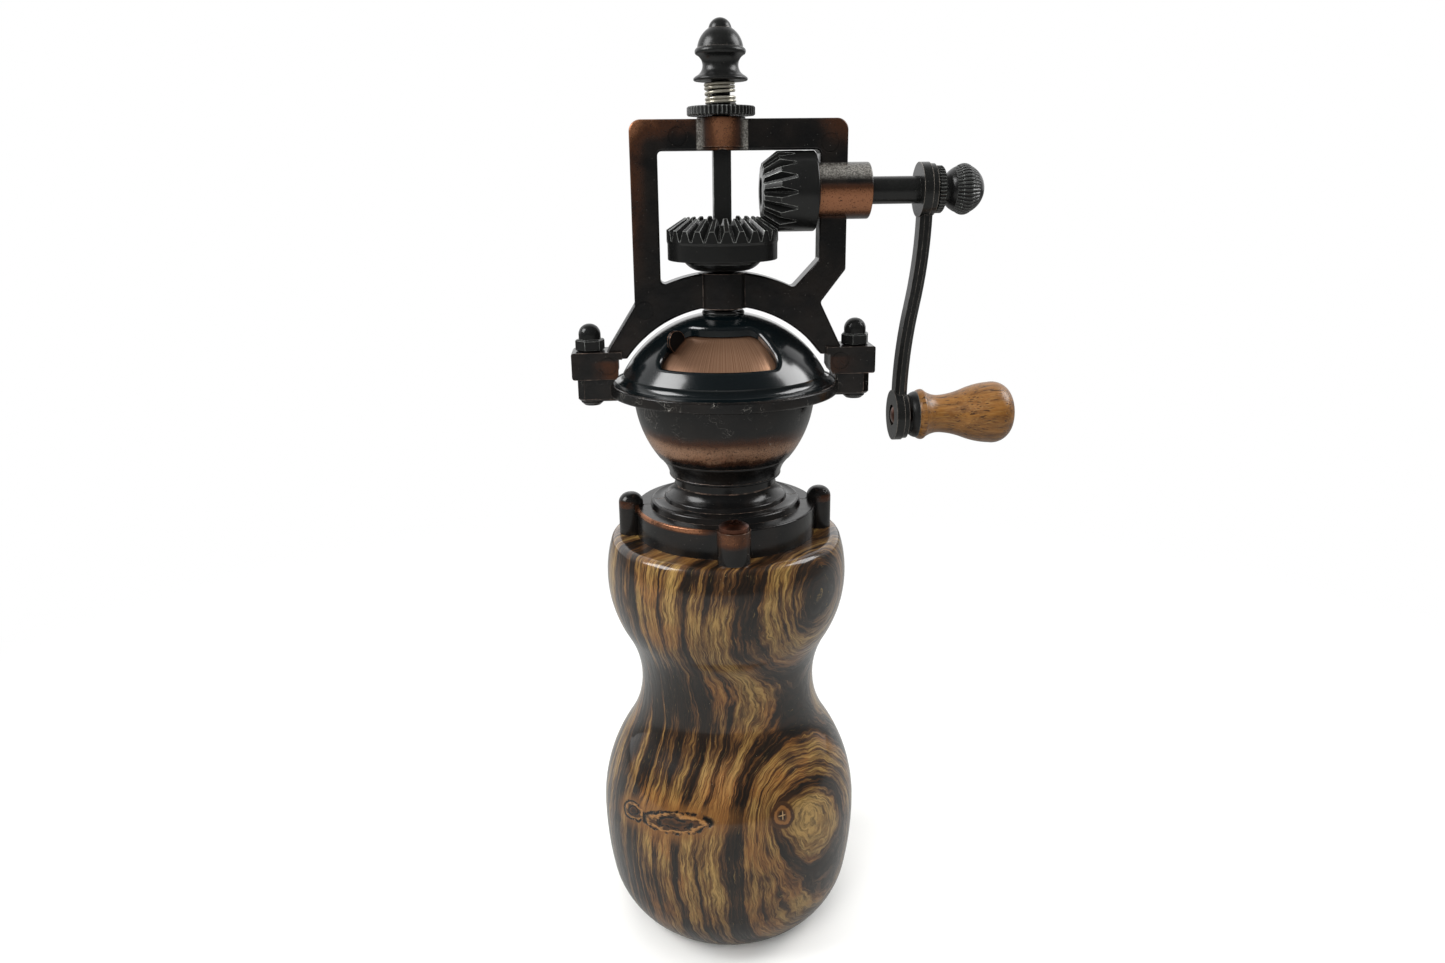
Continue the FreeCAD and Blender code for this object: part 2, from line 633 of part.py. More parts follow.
def make_shutter():
    """The sliding inner dome that closes the window, with its thumb tab."""
    inner_radius = D.shutter_radius - D.shutter_wall
    hub_edge = as_size(11.0)

    def shell(label, first, last):
        return turned(label, [
            (first, dome_height(first, inner_radius)),
            (first, dome_height(first, D.shutter_radius)), Bend(D.shutter_radius, "left"),
            (last, dome_height(last, D.shutter_radius)),
            (last, dome_height(last, inner_radius)), Bend(inner_radius, "right"),
        ])

    crown = shell("shutter_crown", D.dome_hole, hub_edge)
    skirt = shell("shutter_skirt", hub_edge - 0.5, D.shutter_hem)
    block = sector("shutter_block", hub_edge - 1, D.shutter_hem + 1, D.shutter_half_angle,
                   D.shutter_turn, as_size(160), as_size(195))
    leaf = common("shutter_leaf", skirt, block)
    blade = combine("Fuse", "shutter_blade", crown, leaf)
    doc.recompute()
    tab = make_thumb_tab()
    combine("Fuse", "shutter", blade, tab)


def make_thumb_tab():
    """A curled leaf that stands out of the window near its left end."""
    thickness = 0.9
    reach = D.tab_circle
    foot = D.shutter_radius - D.shutter_wall / 2
    body = new_body("thumb_tab")
    sketch = new_sketch(body, "XZ_Plane")
    half = D.tab_width / 2
    slope = Size(math.degrees(math.asin(reach.number / D.shutter_radius.number)),
                 "asin(%s / %s)" % (reach.formula, D.shutter_radius.formula))
    out = (sine(slope), cosine(slope))
    along = (out[1], -out[0])
    middle = (reach, D.dome_centre + leg(foot, reach))

    def at(side, rise):
        return (middle[0] + along[0] * side + out[0] * rise,
                middle[1] + along[1] * side + out[1] * rise)

    draw_outline(sketch, [
        at(half * 0.8, 0), Bend(9.0, "right"), at(half, D.tab_reach * 0.55), Bend(3.2, "right"),
        at(0, D.tab_reach + 1.2), Bend(3.2, "right"), at(-half, D.tab_reach * 0.55),
        Bend(9.0, "right"), at(-half * 0.8, 0)])
    feature(body, "Pad", sketch, thickness, SideType="Symmetric")
    return place(body, rotation=FreeCAD.Rotation(Z_AXIS, -90 - DRIVING["tab_turn"]))


# ---------------------------------------------------------------- cast frame

def make_frame():
    body = new_body("frame")
    half = D.frame_half_thickness
    plate = new_sketch(body, "XZ_Plane")
    corner = D.frame_corner
    plate_bottom = D.ear_bottom + 1.5
    arch_foot = leg(D.arch_inner, plate_bottom - D.arch_centre)
    draw_outline(plate, [
        (-arch_foot, plate_bottom), Bend(D.arch_inner, "left"),
        (0, D.arch_centre + D.arch_inner), Bend(D.arch_inner, "left"),
        (arch_foot, plate_bottom),
        (D.right_foot_reach, plate_bottom),
        (D.right_foot_reach, D.ear_top - 1),
        (D.right_notch_reach, D.right_notch_height),
        (D.right_outer, D.right_knee),
        (D.right_outer, D.frame_top - corner), Bend(corner, "right"),
        (D.right_outer - corner, D.frame_top),
        (corner - D.left_outer, D.frame_top), Bend(corner, "right"),
        (-D.left_outer, D.frame_top - corner),
        (-D.left_outer, D.left_knee),
        (-D.left_foot_reach, D.ear_top - 1),
        (-D.left_foot_reach, plate_bottom),
    ])
    feature(body, "Pad", plate, 2 * half, SideType="Symmetric")
    window = new_sketch(body, "XZ_Plane")
    left_height = D.arch_centre + leg(D.arch_outer, D.left_inner)
    knee_height = D.arch_centre + leg(D.arch_outer, D.window_knee_reach)
    draw_outline(window, [
        (-D.left_inner, left_height), Bend(D.arch_outer, "left"),
        (D.window_knee_reach, knee_height),
        (D.right_inner, D.window_knee_height),
        (D.right_inner, D.bar_bottom),
        (-D.left_inner, D.bar_bottom),
    ])
    cut(body, window, THROUGH, SideType="Symmetric")
    round_edges(body, 1.2, lambda edge: near(edge.BoundBox.XLength, 0) and near(edge.BoundBox.ZLength, 0)
                and edge.BoundBox.YLength > 6 and spot(edge).z > D.ear_top.number
                and not near(spot(edge).z, D.frame_top) and not near(spot(edge).z, D.frame_top - corner)
                and not near(spot(edge).x, 0))
    round_edges(body, 0.6, lambda edge: near(abs(spot(edge).y), half) and edge.BoundBox.YLength < 1e-4
                and spot(edge).z > D.ear_top.number)
    ears = new_sketch(body, "XY_Plane", D.ear_bottom)
    for side in (-1, 1):
        draw_outline(ears, rectangle(side * D.ear_end, -D.ear_half_depth, side * (arch_foot - 1),
                                     D.ear_half_depth))
    feature(body, "Pad", ears, D.ear_top - D.ear_bottom)
    round_edges(body, 0.8, lambda edge: abs(spot(edge).x) > D.ear_end.number - 0.1)
    arch_clear = draw_circle(new_sketch(body, "XZ_Plane"), 0, D.arch_centre, D.arch_inner)
    cut(body, arch_clear, THROUGH, SideType="Symmetric")
    dome_clear = draw_circle(new_sketch(body, "XY_Plane", D.ear_bottom), 0, 0, D.brim_radius - 1.2)
    cut(body, dome_clear, D.ear_top - D.ear_bottom - 2, Reversed=True)
    for radius, low, high in ((D.top_boss_radius, D.top_boss_bottom, D.top_boss_top),
                              (D.lower_boss_radius, D.lower_boss_bottom, D.lower_boss_top)):
        boss = draw_circle(new_sketch(body, "XY_Plane", low), 0, 0, radius)
        feature(body, "Pad", boss, high - low)
    crank_boss = draw_circle(new_sketch(body, "YZ_Plane", D.crank_boss_start), 0, D.crank_height,
                             D.crank_boss_radius)
    feature(body, "Pad", crank_boss, D.crank_boss_end - D.crank_boss_start)
    round_edges(body, 0.4, lambda edge: edge.isClosed()
                and (near(spot(edge).x, D.crank_boss_end) or near(spot(edge).z, D.top_boss_top)))
    for low in (D.top_boss_bottom, D.lower_boss_bottom):
        bore = draw_circle(new_sketch(body, "XY_Plane", low - 2), 0, 0, D.boss_bore)
        cut(body, bore, THROUGH, Reversed=True)
    crank_bore = draw_circle(new_sketch(body, "YZ_Plane", D.crank_boss_start - 1), 0, D.crank_height,
                             D.shaft_radius + RUNNING)
    cut(body, crank_bore, THROUGH, Reversed=True)
    bolt_holes = new_sketch(body, "XY_Plane", D.ear_bottom - 1)
    for side in (-1, 1):
        draw_circle(bolt_holes, side * D.ear_bolt_reach, 0, D.bolt_radius + HOLE_ROOM)
    cut(body, bolt_holes, THROUGH, Reversed=True)
    add_ejector_marks(body)


def add_ejector_marks(body):
    """The faint round marks that the ejector pins left on the casting's front."""
    marks = new_sketch(body, "XZ_Plane", D.frame_half_thickness)
    ring = 0.35
    bar_middle = (D.bar_bottom + D.frame_top) / 2
    for across, up in ((-D.top_boss_radius - 5.2, bar_middle - 0.4),
                       ((D.right_inner + D.right_outer) / 2 - 1.2, bar_middle - 2.2),
                       (-(D.left_inner + D.left_outer) / 2 - 1, D.left_knee - 1.5)):
        draw_circle(marks, across, up, D.mark_radius)
        draw_circle(marks, across, up, D.mark_radius - ring)
    cut(body, marks, D.mark_depth)
    ear_marks = new_sketch(body, "XZ_Plane", D.ear_half_depth)
    ear_middle = (D.ear_bottom + D.ear_top) / 2
    for side in (-1, 1):
        across = side * (D.ear_bolt_reach - 4.9)
        draw_circle(ear_marks, across, ear_middle, D.mark_radius)
        draw_circle(ear_marks, across, ear_middle, D.mark_radius - ring)
    cut(body, ear_marks, D.mark_depth)


def make_frame_bolts():
    bolts = []
    head_top = D.bowl_ear_bottom - TOUCH
    head_bottom = head_top - D.bolt_head_height
    for number, side in ((1, -1), (2, 1)):
        body = turned("frame_bolt_%d" % number, [
            (0, head_bottom), (D.bolt_head_radius - 0.9, head_bottom),
            (D.bolt_head_radius, head_bottom + 0.8), (D.bolt_head_radius, head_top),
            (D.bolt_radius, head_top), (D.bolt_radius, D.bolt_end - 0.4),
            (D.bolt_radius - 0.4, D.bolt_end), (0, D.bolt_end)])
        bolts.append(place(body, side * D.ear_bolt_reach))
    group("frame_bolts", bolts)


def make_acorn_nuts():
    nuts = []
    seat = D.ear_top + TOUCH
    for number, side in ((1, -1), (2, 1)):
        body = new_body("acorn_nut_%d" % number)
        hexagon = draw_outline(new_sketch(body, "XY_Plane", seat), polygon(6, D.nut_flats))
        feature(body, "Pad", hexagon, D.nut_hex_top - seat)
        round_edges(body, 0.35, lambda edge: near(edge.BoundBox.ZLength, 0), kind="Chamfer")
        cap = draw_circle(new_sketch(body, "XY_Plane", D.nut_hex_top - 0.5), 0, 0, D.nut_dome_radius)
        feature(body, "Pad", cap, D.nut_top - D.nut_hex_top + 0.5)
        round_edges(body, D.nut_dome_radius - 0.15, lambda edge: near(spot(edge).z, D.nut_top)
                    and edge.Length > 5)
        bore = draw_circle(new_sketch(body, "XY_Plane", seat), 0, 0, D.bolt_radius + TOUCH)
        cut(body, bore, D.bolt_end + 0.1 - seat, Reversed=True)
        nuts.append(place(body, side * D.ear_bolt_reach, rotation=FreeCAD.Rotation(Z_AXIS, 12)))
    group("acorn_nuts", nuts)


# ---------------------------------------------------------------- bevel gears

def cut_tooth_spaces(body, teeth, tip_angle, root_angle, space, near_reach, far_reach):
    """Cuts one V-shaped tooth space that runs to the pitch cones' apex, then repeats it.

    The body's own origin is that apex, and its blank opens along +Z below or above it.
    Widths are shares of the tooth pitch at the tip cone; the root is narrower.
    """
    pitch = FULL_CIRCLE / teeth
    over = 0.35
    sections = []
    for reach in (near_reach, far_reach):
        section = new_sketch(body, "YZ_Plane", reach)
        root_half = reach * tangent(pitch * D.root_width / 2)
        tip_half = reach * tangent(pitch * space / 2)
        root_height = reach / tangent(root_angle)
        tip_height = reach / tangent(tip_angle)
        top_height = tip_height + over * (tip_height - root_height)
        top_half = tip_half + over * (tip_half - root_half)
        draw_outline(section, [(-root_half, root_height), (root_half, root_height),
                               (top_half, top_height), (-top_half, top_height)])
        sections.append(section)
    before = body.Tip.Shape.Volume
    space_cut = body.newObject("PartDesign::SubtractiveLoft", body.Label + "_space")
    space_cut.Profile = sections[0]
    space_cut.Sections = [sections[1]]
    space_cut.Ruled = True
    doc.recompute()
    if space_cut.Shape.Volume > before - 1e-3:
        raise RuntimeError("a tooth space in %s cuts nothing" % body.Label)
    around(body, space_cut, teeth)


def make_bevel_gear():
    """The driven gear; built with its apex at the origin, opening upwards, then turned over."""
    tip = tangent(D.gear_tip_angle)
    skirt_bottom = D.crank_height - D.gear_skirt_bottom
    hub_bottom = D.crank_height - D.gear_hub_bottom
    root_inner = D.gear_inner / tangent(D.gear_root_angle)
    body = turned("bevel_gear", [
        (0, root_inner + 0.3),
        (D.gear_inner - 1.2, root_inner + 0.3), Bend(1.4, "left"),
        (D.gear_inner - 0.2, D.gear_inner / tip + 0.25),
        (D.gear_inner, D.gear_inner / tip),
        (D.gear_radius, D.gear_radius / tip),
        (D.gear_radius, D.gear_radius / tangent(D.gear_root_angle) + 0.3),
        (D.gear_skirt, D.gear_radius / tangent(D.gear_root_angle) + 0.9),
        (D.gear_skirt, skirt_bottom - 0.3), Bend(0.35, "right"),
        (D.gear_skirt - 0.3, skirt_bottom),
        (D.gear_hub + 3.2, skirt_bottom), Bend(1.2, "left"),
        (D.gear_hub + 2.8, skirt_bottom + 0.9), Bend(6.0, "right"),
        (D.gear_hub, hub_bottom),
        (0, hub_bottom),
    ])
    cut_tooth_spaces(body, D.gear_teeth, D.gear_tip_angle, D.gear_root_angle, D.gear_space,
                     as_size(7.0), as_size(17.5))
    half_tooth = 180 / DRIVING["gear_teeth"]
    bore = draw_outline(new_sketch(body, "XY_Plane", -5),
                        polygon(4, D.bar_side + 2 * TOUCH, 45.0 + half_tooth))
    cut(body, bore, THROUGH, Reversed=True)
    flip = FreeCAD.Rotation(FreeCAD.Vector(1, 0, 0), 180)
    in_mesh = FreeCAD.Rotation(Z_AXIS, half_tooth)
    place(body, 0, 0, D.crank_height, in_mesh.multiply(flip))


def cut_pin_hole(body):
    """The cross hole for the pinion's pin, through a piece whose own Z runs along the shaft."""
    hole = draw_circle(new_sketch(body, "YZ_Plane"), 0, D.pinion_back - D.pin_inset, D.roll_pin_radius + TOUCH)
    cut(body, hole, THROUGH, SideType="Symmetric")


def make_bevel_pinion():
    """The driving gear on the crank's shaft."""
    tip = tangent(D.pinion_tip_angle)
    root_radius = D.pinion_front * tangent(D.pinion_root_angle)
    body = turned("bevel_pinion", [
        (D.shaft_radius + TOUCH, D.pinion_front),
        (root_radius - 0.3, D.pinion_front),
        (D.pinion_front * tip, D.pinion_front + 0.25),
        (D.pinion_radius, D.pinion_radius / tip), Bend(2.0, "right"),
        (D.pinion_radius, D.pinion_radius / tip + 0.6),
        (D.pinion_radius, D.pinion_back - 0.5), Bend(0.5, "right"),
        (D.pinion_radius - 0.5, D.pinion_back),
        (D.shaft_radius + TOUCH, D.pinion_back),
    ])
    cut_tooth_spaces(body, D.pinion_teeth, D.pinion_tip_angle, D.pinion_root_angle, D.pinion_space,
                     as_size(4.0), as_size(14.0))
    cut_pin_hole(body)
    place(body, 0, 0, D.crank_height, ALONG_X)


def make_pinion_pin():
    """The roll pin across the pinion and the shaft."""
    end = D.pinion_radius - 0.3
    wide = D.roll_pin_radius
    narrow = wide - 0.2
    pin = turned("pinion_pin", [(0, -end), (narrow, -end), (wide, 0.3 - end),
                                (wide, end - 0.3), (narrow, end), (0, end)])
    place(pin, D.pinion_back - D.pin_inset, 0, D.crank_height)


# ---------------------------------------------------------------- crank

def make_crank_shaft():
    end = D.ball_start + 6.5
    start = D.pinion_front + 0.4
    body = turned("crank_shaft", [
        (0, start), (D.shaft_radius - 0.5, start), (D.shaft_radius, start + 0.5),
        (D.shaft_radius, D.arm_face - TOUCH), (D.shaft_stub, D.arm_face - TOUCH),
        (D.shaft_stub, end - 0.5), (D.shaft_stub - 0.5, end), (0, end),
    ])
    cut_pin_hole(body)
    place(body, 0, 0, D.crank_height, ALONG_X)


def make_crank_arm():
    """A cast arm: two bosses joined by a gently S-shaped, ridged bar."""
    body = new_body("crank_arm")
    half = D.arm_thickness / 2
    top = D.crank_height - D.arm_boss_radius * 0.6
    knob_height = D.crank_height - D.throw
    bottom = knob_height + D.arm_boss_radius * 0.6
    high = D.arm_face + 2.0
    low = D.arm_low_face + 1.9
    rise = top - bottom
    drift = high - low
    bend = (rise * rise / 4 + drift * drift / 4) / drift
    middle = ((high + low) / 2, (top + bottom) / 2)
    bar = new_sketch(body, "XZ_Plane")
    draw_outline(bar, [
        (low - half, bottom), (low + half, bottom), Bend(bend, "left"),
        (middle[0] + half, middle[1]), Bend(bend, "right"),
        (high + half, top), (high - half, top), Bend(bend, "left"),
        (middle[0] - half, middle[1]), Bend(bend, "right"),
    ])
    feature(body, "Pad", bar, D.arm_width, SideType="Symmetric")
    round_edges(body, D.arm_thickness * 0.3, lambda edge: near(abs(spot(edge).y), D.arm_width / 2)
                and edge.Length > 10, kind="Chamfer")
    top_boss = draw_circle(new_sketch(body, "YZ_Plane", D.arm_face), 0, D.crank_height, D.arm_boss_radius)
    feature(body, "Pad", top_boss, 2.5)
    collar = draw_circle(new_sketch(body, "YZ_Plane", D.arm_face + 2), 0, D.crank_height,
                         D.arm_boss_radius - 0.4)
    feature(body, "Pad", collar, D.arm_boss_length - 2)
    low_boss = draw_circle(new_sketch(body, "YZ_Plane", D.arm_low_face), 0, knob_height,
                           D.arm_boss_radius - 0.1)
    feature(body, "Pad", low_boss, 2.3)
    low_collar = draw_circle(new_sketch(body, "YZ_Plane", D.arm_low_face + 2), 0, knob_height,
                             D.arm_boss_radius - 0.5)
    feature(body, "Pad", low_collar, 1.7)
    bores = draw_circle(new_sketch(body, "YZ_Plane", D.arm_face - 1), 0, D.crank_height, D.shaft_stub + TOUCH)
    cut(body, bores, THROUGH, Reversed=True)
    pin_bore = draw_circle(new_sketch(body, "YZ_Plane", D.arm_low_face - 1), 0, knob_height,
                           D.pin_radius + RUNNING)
    cut(body, pin_bore, THROUGH, Reversed=True)
    head_room = draw_circle(new_sketch(body, "YZ_Plane", D.arm_low_face), 0, knob_height,
                            D.pin_head_radius + 0.2)
    cut(body, head_room, 1.4, Reversed=True)


def make_arm_lock_ring():
    body = turned("arm_lock_ring", [
        (D.shaft_stub + TOUCH, D.ring_start), (D.ring_radius - 0.3, D.ring_start),
        (D.ring_radius, D.ring_start + 0.3), (D.ring_radius, D.ring_end - 0.3),
        (D.ring_radius - 0.3, D.ring_end), (D.shaft_stub + TOUCH, D.ring_end),
    ])
    cut_ribs(body, D.ring_radius, D.ball_ribs, 0.34, D.ring_start - 1, 6)
    place(body, 0, 0, D.crank_height, ALONG_X)


def cut_ribs(body, radius, count, depth, bottom, length):
    """Straight knurling: one V groove repeated round the edge."""
    half = radius * tangent(FULL_CIRCLE / count) / 2 * 0.62
    groove = draw_outline(new_sketch(body, "XY_Plane", bottom), [
        (radius - depth, 0), (radius + 0.2, -half), (radius + 0.2, half)])
    around(body, cut(body, groove, length, Reversed=True), count)


def make_ball_nut():
    radius = D.ball_radius
    band = as_size(1.75)
    flat = radius - 0.1
    body = turned("ball_nut", [
        (D.shaft_stub + TOUCH, D.ball_start),
        (D.ball_neck, D.ball_start), Bend(2.2, "left"),
        (D.ball_neck + 0.4, D.ball_centre - leg(radius, D.ball_neck + 0.4)), Bend(radius, "right"),
        (flat, D.ball_centre - band), Bend(2.6, "right"),
        (flat, D.ball_centre + band), Bend(crown(flat, D.ball_end - D.ball_centre - band), "right"),
        (0, D.ball_end),
        (0, D.ball_start + 7.0),
        (D.shaft_stub + TOUCH, D.ball_start + 7.0),
    ])
    cut_ribs(body, flat, D.ball_ribs, 0.4, D.ball_centre - band, 2 * band)
    place(body, 0, 0, D.crank_height, ALONG_X)


# ---------------------------------------------------------------- knob

def make_knob():
    knob_height = D.crank_height - D.throw
    pin_end = D.knob_end - 9
    rim = as_size(6.6)
    head = D.arm_low_face
    pin = turned("knob_pin", [
        (0, head - 0.3), Bend(crown(D.pin_head_radius, as_size(1.0)), "right"),
        (D.pin_head_radius, head + 0.7),
        (D.pin_head_radius, head + 1.3),
        (D.pin_radius, head + 1.3), (D.pin_radius, pin_end), (0, pin_end),
    ])
    ferrule = turned("knob_ferrule", [
        (D.pin_radius + GLUED, D.ferrule_start), (5.6, D.ferrule_start), Bend(3.0, "right"),
        (rim, D.ferrule_end), (D.pin_radius + GLUED, D.ferrule_end),
    ])
    bead = D.ferrule_end + 1.5
    neck = bead + 5.7
    bulge = D.knob_end - 7.1
    wood = turned("wood_knob", [
        (D.pin_radius + GLUED, D.ferrule_end + GLUED),
        (rim, D.ferrule_end + GLUED), Bend(2.2, "right"),
        (D.knob_bead, bead), Bend(1.2, "right"),
        (D.knob_bead - 0.5, bead + 0.8), Bend(7.0, "left"),
        (D.knob_neck, neck), Bend(22.0, "left"),
        ((D.knob_neck + D.knob_bulge) / 2, (neck + bulge) / 2 - 0.4), Bend(24.0, "right"),
        (D.knob_bulge, bulge), Bend(5.6, "right"),
        (D.knob_bulge - 3.9, D.knob_end - 0.75), Bend(crown(D.knob_bulge - 3.9, as_size(0.75)), "right"),
        (0, D.knob_end),
        (0, pin_end + 0.1),
        (D.pin_radius + GLUED, pin_end + 0.1),
    ])
    for piece in (pin, ferrule, wood):
        place(piece, 0, 0, knob_height, ALONG_X)


# ---------------------------------------------------------------- spindle train

def make_spindle():
    """A square bar with a threaded top end and a tapped foot."""
    body = new_body("spindle")
    square = draw_outline(new_sketch(body, "XY_Plane", D.spindle_bottom), polygon(4, D.bar_side, 45.0))
    feature(body, "Pad", square, D.square_top - D.spindle_bottom)
    threaded = draw_circle(new_sketch(body, "XY_Plane", D.square_top), 0, 0, D.thread_radius)
    feature(body, "Pad", threaded, D.finial_bottom + 6.5 - D.square_top)
    tapped = draw_circle(new_sketch(body, "XY_Plane", D.spindle_bottom), 0, 0, 1.5)
    cut(body, tapped, 8, Reversed=True)


def make_adjust_nut():
    body = turned("adjust_nut", [
        (D.thread_radius + 0.05, D.adjust_bottom), (D.adjust_radius - 0.3, D.adjust_bottom),
        (D.adjust_radius, D.adjust_bottom + 0.3), (D.adjust_radius, D.adjust_top - 0.3),
        (D.adjust_radius - 0.3, D.adjust_top), (D.thread_radius + 0.05, D.adjust_top),
    ])
    cut_ribs(body, D.adjust_radius, D.adjust_ribs, 0.45, D.adjust_bottom - 1, 5)


def make_spring():
    """The open coil between the adjusting nut and the finial."""
    wire = D.spring_wire
    length = D.finial_bottom - D.adjust_top - 2 * wire - 0.1
    helix = doc.addObject("Part::Helix", "spring_path")
    helix.setExpression("Radius", D.spring_radius.formula)
    helix.setExpression("Height", length.formula)
    helix.setExpression("Pitch", (length / D.spring_turns).formula)
    section = doc.addObject("Part::Circle", "spring_section")
    section.setExpression("Radius", wire.formula)
    section.Placement = FreeCAD.Placement(FreeCAD.Vector(D.spring_radius.number, 0, 0),
                                          FreeCAD.Rotation(FreeCAD.Vector(1, 0, 0), 90))
    section.setExpression("Placement.Base.x", D.spring_radius.formula)
    coil = doc.addObject("Part::Sweep", "spring")
    coil.Spine = helix
    coil.Sections = [section]
    coil.Solid = True
    coil.Frenet = True
    coil.Label = "spring"
    place(coil, 0, 0, D.adjust_top + wire + 0.05)


def make_finial():
    base = D.finial_bottom
    rim = base + 7.1
    ball = D.finial_top - D.finial_ball
    ball_foot = leg(D.finial_ball, 0.5)
    neck_bend = as_size(2.8)
    turned("finial", [
        (D.thread_radius + 0.02, base),
        (D.finial_flange - 0.25, base), Bend(0.45, "right"),
        (D.finial_flange - 0.15, base + 0.8),
        (D.finial_neck + 1.65, base + 1.2), Bend(neck_bend, "left"),
        (D.finial_neck + 1.6, rim - 0.75), Bend(0.95, "right"),
        (D.finial_rim - 0.55, rim + 0.75),
        (D.finial_rim - 0.75, rim + 0.95), Bend(6.2, "right"),
        (ball_foot + 0.5, ball + 0.15),
        (ball_foot, ball + 0.5), Bend(D.finial_ball, "right"),
        (0, D.finial_top),
        (0, base + 7.0),
        (D.thread_radius + 0.02, base + 7.0),
    ])


# ---------------------------------------------------------------- burr set

def make_burr_plate():
    body = turned("burr_plate", [
        (D.stator_low_bore + 0.9, D.plate_bottom), (D.stator_radius, D.plate_bottom),
        (D.stator_radius, D.plate_top), (D.stator_low_bore + 0.9, D.plate_top),
    ])
    hole = draw_circle(new_sketch(body, "XY_Plane", D.plate_bottom - 1), 0, D.plate_screw_circle,
                       D.plate_screw_radius + HOLE_ROOM)
    around(body, cut(body, hole, THROUGH, Reversed=True), D.plate_screws)


def make_burr_ring():
    """The fixed ceramic ring, fluted inside."""
    bottom = D.plate_top + TOUCH
    body = turned("burr_ring", [
        (D.stator_low_bore, bottom), (D.stator_radius, bottom), (D.stator_radius, D.stator_top),
        (D.stator_high_bore, D.stator_top), (D.stator_low_bore, bottom + 3),
    ])
    flute = draw_outline(new_sketch(body, "XY_Plane", bottom + 3), [
        (D.stator_low_bore - 1, -1.0), (D.stator_high_bore + 0.5, 0.6), (D.stator_low_bore - 1, 1.0)])
    around(body, cut(body, flute, THROUGH, Reversed=True), D.burr_flutes * 2)
    hole = draw_circle(new_sketch(body, "XY_Plane", bottom - 1), 0, D.plate_screw_circle,
                       D.plate_screw_radius + HOLE_ROOM)
    around(body, cut(body, hole, THROUGH, Reversed=True), D.plate_screws)


def make_burr_cone():
    """The ceramic cone that turns with the spindle, fluted outside."""
    bottom = D.spindle_bottom + TOUCH
    body = turned("burr_cone", [
        (0, bottom), (D.rotor_low, bottom), (D.rotor_low, bottom + 2.5),
        (D.rotor_high, D.rotor_top), (0, D.rotor_top),
    ])
    flute = draw_outline(new_sketch(body, "XY_Plane", bottom + 2.5), [
        (D.rotor_high - 1.2, 0.4), (D.rotor_low + 1, -1.3), (D.rotor_low + 1, 1.0)])
    around(body, cut(body, flute, THROUGH, Reversed=True), D.burr_flutes)
    bore = draw_outline(new_sketch(body, "XY_Plane", bottom - 1), polygon(4, D.bar_side + 2 * TOUCH, 45.0))
    cut(body, bore, THROUGH, Reversed=True)


def make_spindle_bridge():
    """The bar across the chamber that steadies the foot of the spindle."""
    body = new_body("spindle_bridge")
    half_length = leg(D.stator_radius, D.bridge_width / 2)
    half_width = D.bridge_width / 2
    bar = draw_outline(new_sketch(body, "XY_Plane", D.bridge_bottom), [
        (-half_length, -half_width), (half_length, -half_width), Bend(D.stator_radius, "right"),
        (half_length, half_width), (-half_length, half_width), Bend(D.stator_radius, "right")])
    feature(body, "Pad", bar, D.bridge_top - D.bridge_bottom)
    bore = draw_circle(new_sketch(body, "XY_Plane", D.bridge_bottom - 1), 0, 0, D.boss_bore - 0.05)
    cut(body, bore, THROUGH, Reversed=True)


def make_burr_screws():
    screws = []
    for number in range(int(DRIVING["plate_screws"])):
        screw = make_cross_screw("burr_screw_%d" % (number + 1), as_size(2.6), as_size(0.9),
                                 D.plate_screw_radius, as_size(15.5))
        turn = 90 + FULL_CIRCLE / DRIVING["plate_screws"] * number
        reach = D.plate_screw_circle
        flip = FreeCAD.Rotation(FreeCAD.Vector(1, 0, 0), 180)
        screws.append(place(screw, reach * cosine(turn), reach * sine(turn), D.plate_bottom - GLUED, flip))
    group("burr_screws", screws)


def make_rotor_fixing():
    """The washer and screw that hold the burr cone on the spindle."""
    top = D.spindle_bottom
    thickness = 0.8
    turned("rotor_washer", [(1.6, top - thickness), (5.5, top - thickness), (5.5, top), (1.6, top)])
    flip = FreeCAD.Rotation(FreeCAD.Vector(1, 0, 0), 180)
    screw = make_cross_screw("rotor_screw", as_size(3.0), as_size(0.9), as_size(1.45), as_size(7.0))
    place(screw, 0, 0, top - thickness - GLUED, flip)


# ---------------------------------------------------------------- build, check and write

def check_document():
    for item in doc.Objects:
        if "Invalid" in item.State or "Error" in item.State:
            raise RuntimeError("%s did not recompute: %s" % (item.Label, item.State))


def write_nodes(labels):
    os.makedirs("parts", exist_ok=True)
    for label in labels:
        shape = doc.getObjectsByLabel(label)[0].Shape
        if shape.isNull() or not shape.isValid() or not shape.Solids:
            raise RuntimeError("%s has no valid solid" % label)
        shape.exportStep("parts/%s.step" % label)
        print("%-16s %d solid(s) %9.1f mm3" % (label, len(shape.Solids), shape.Volume))


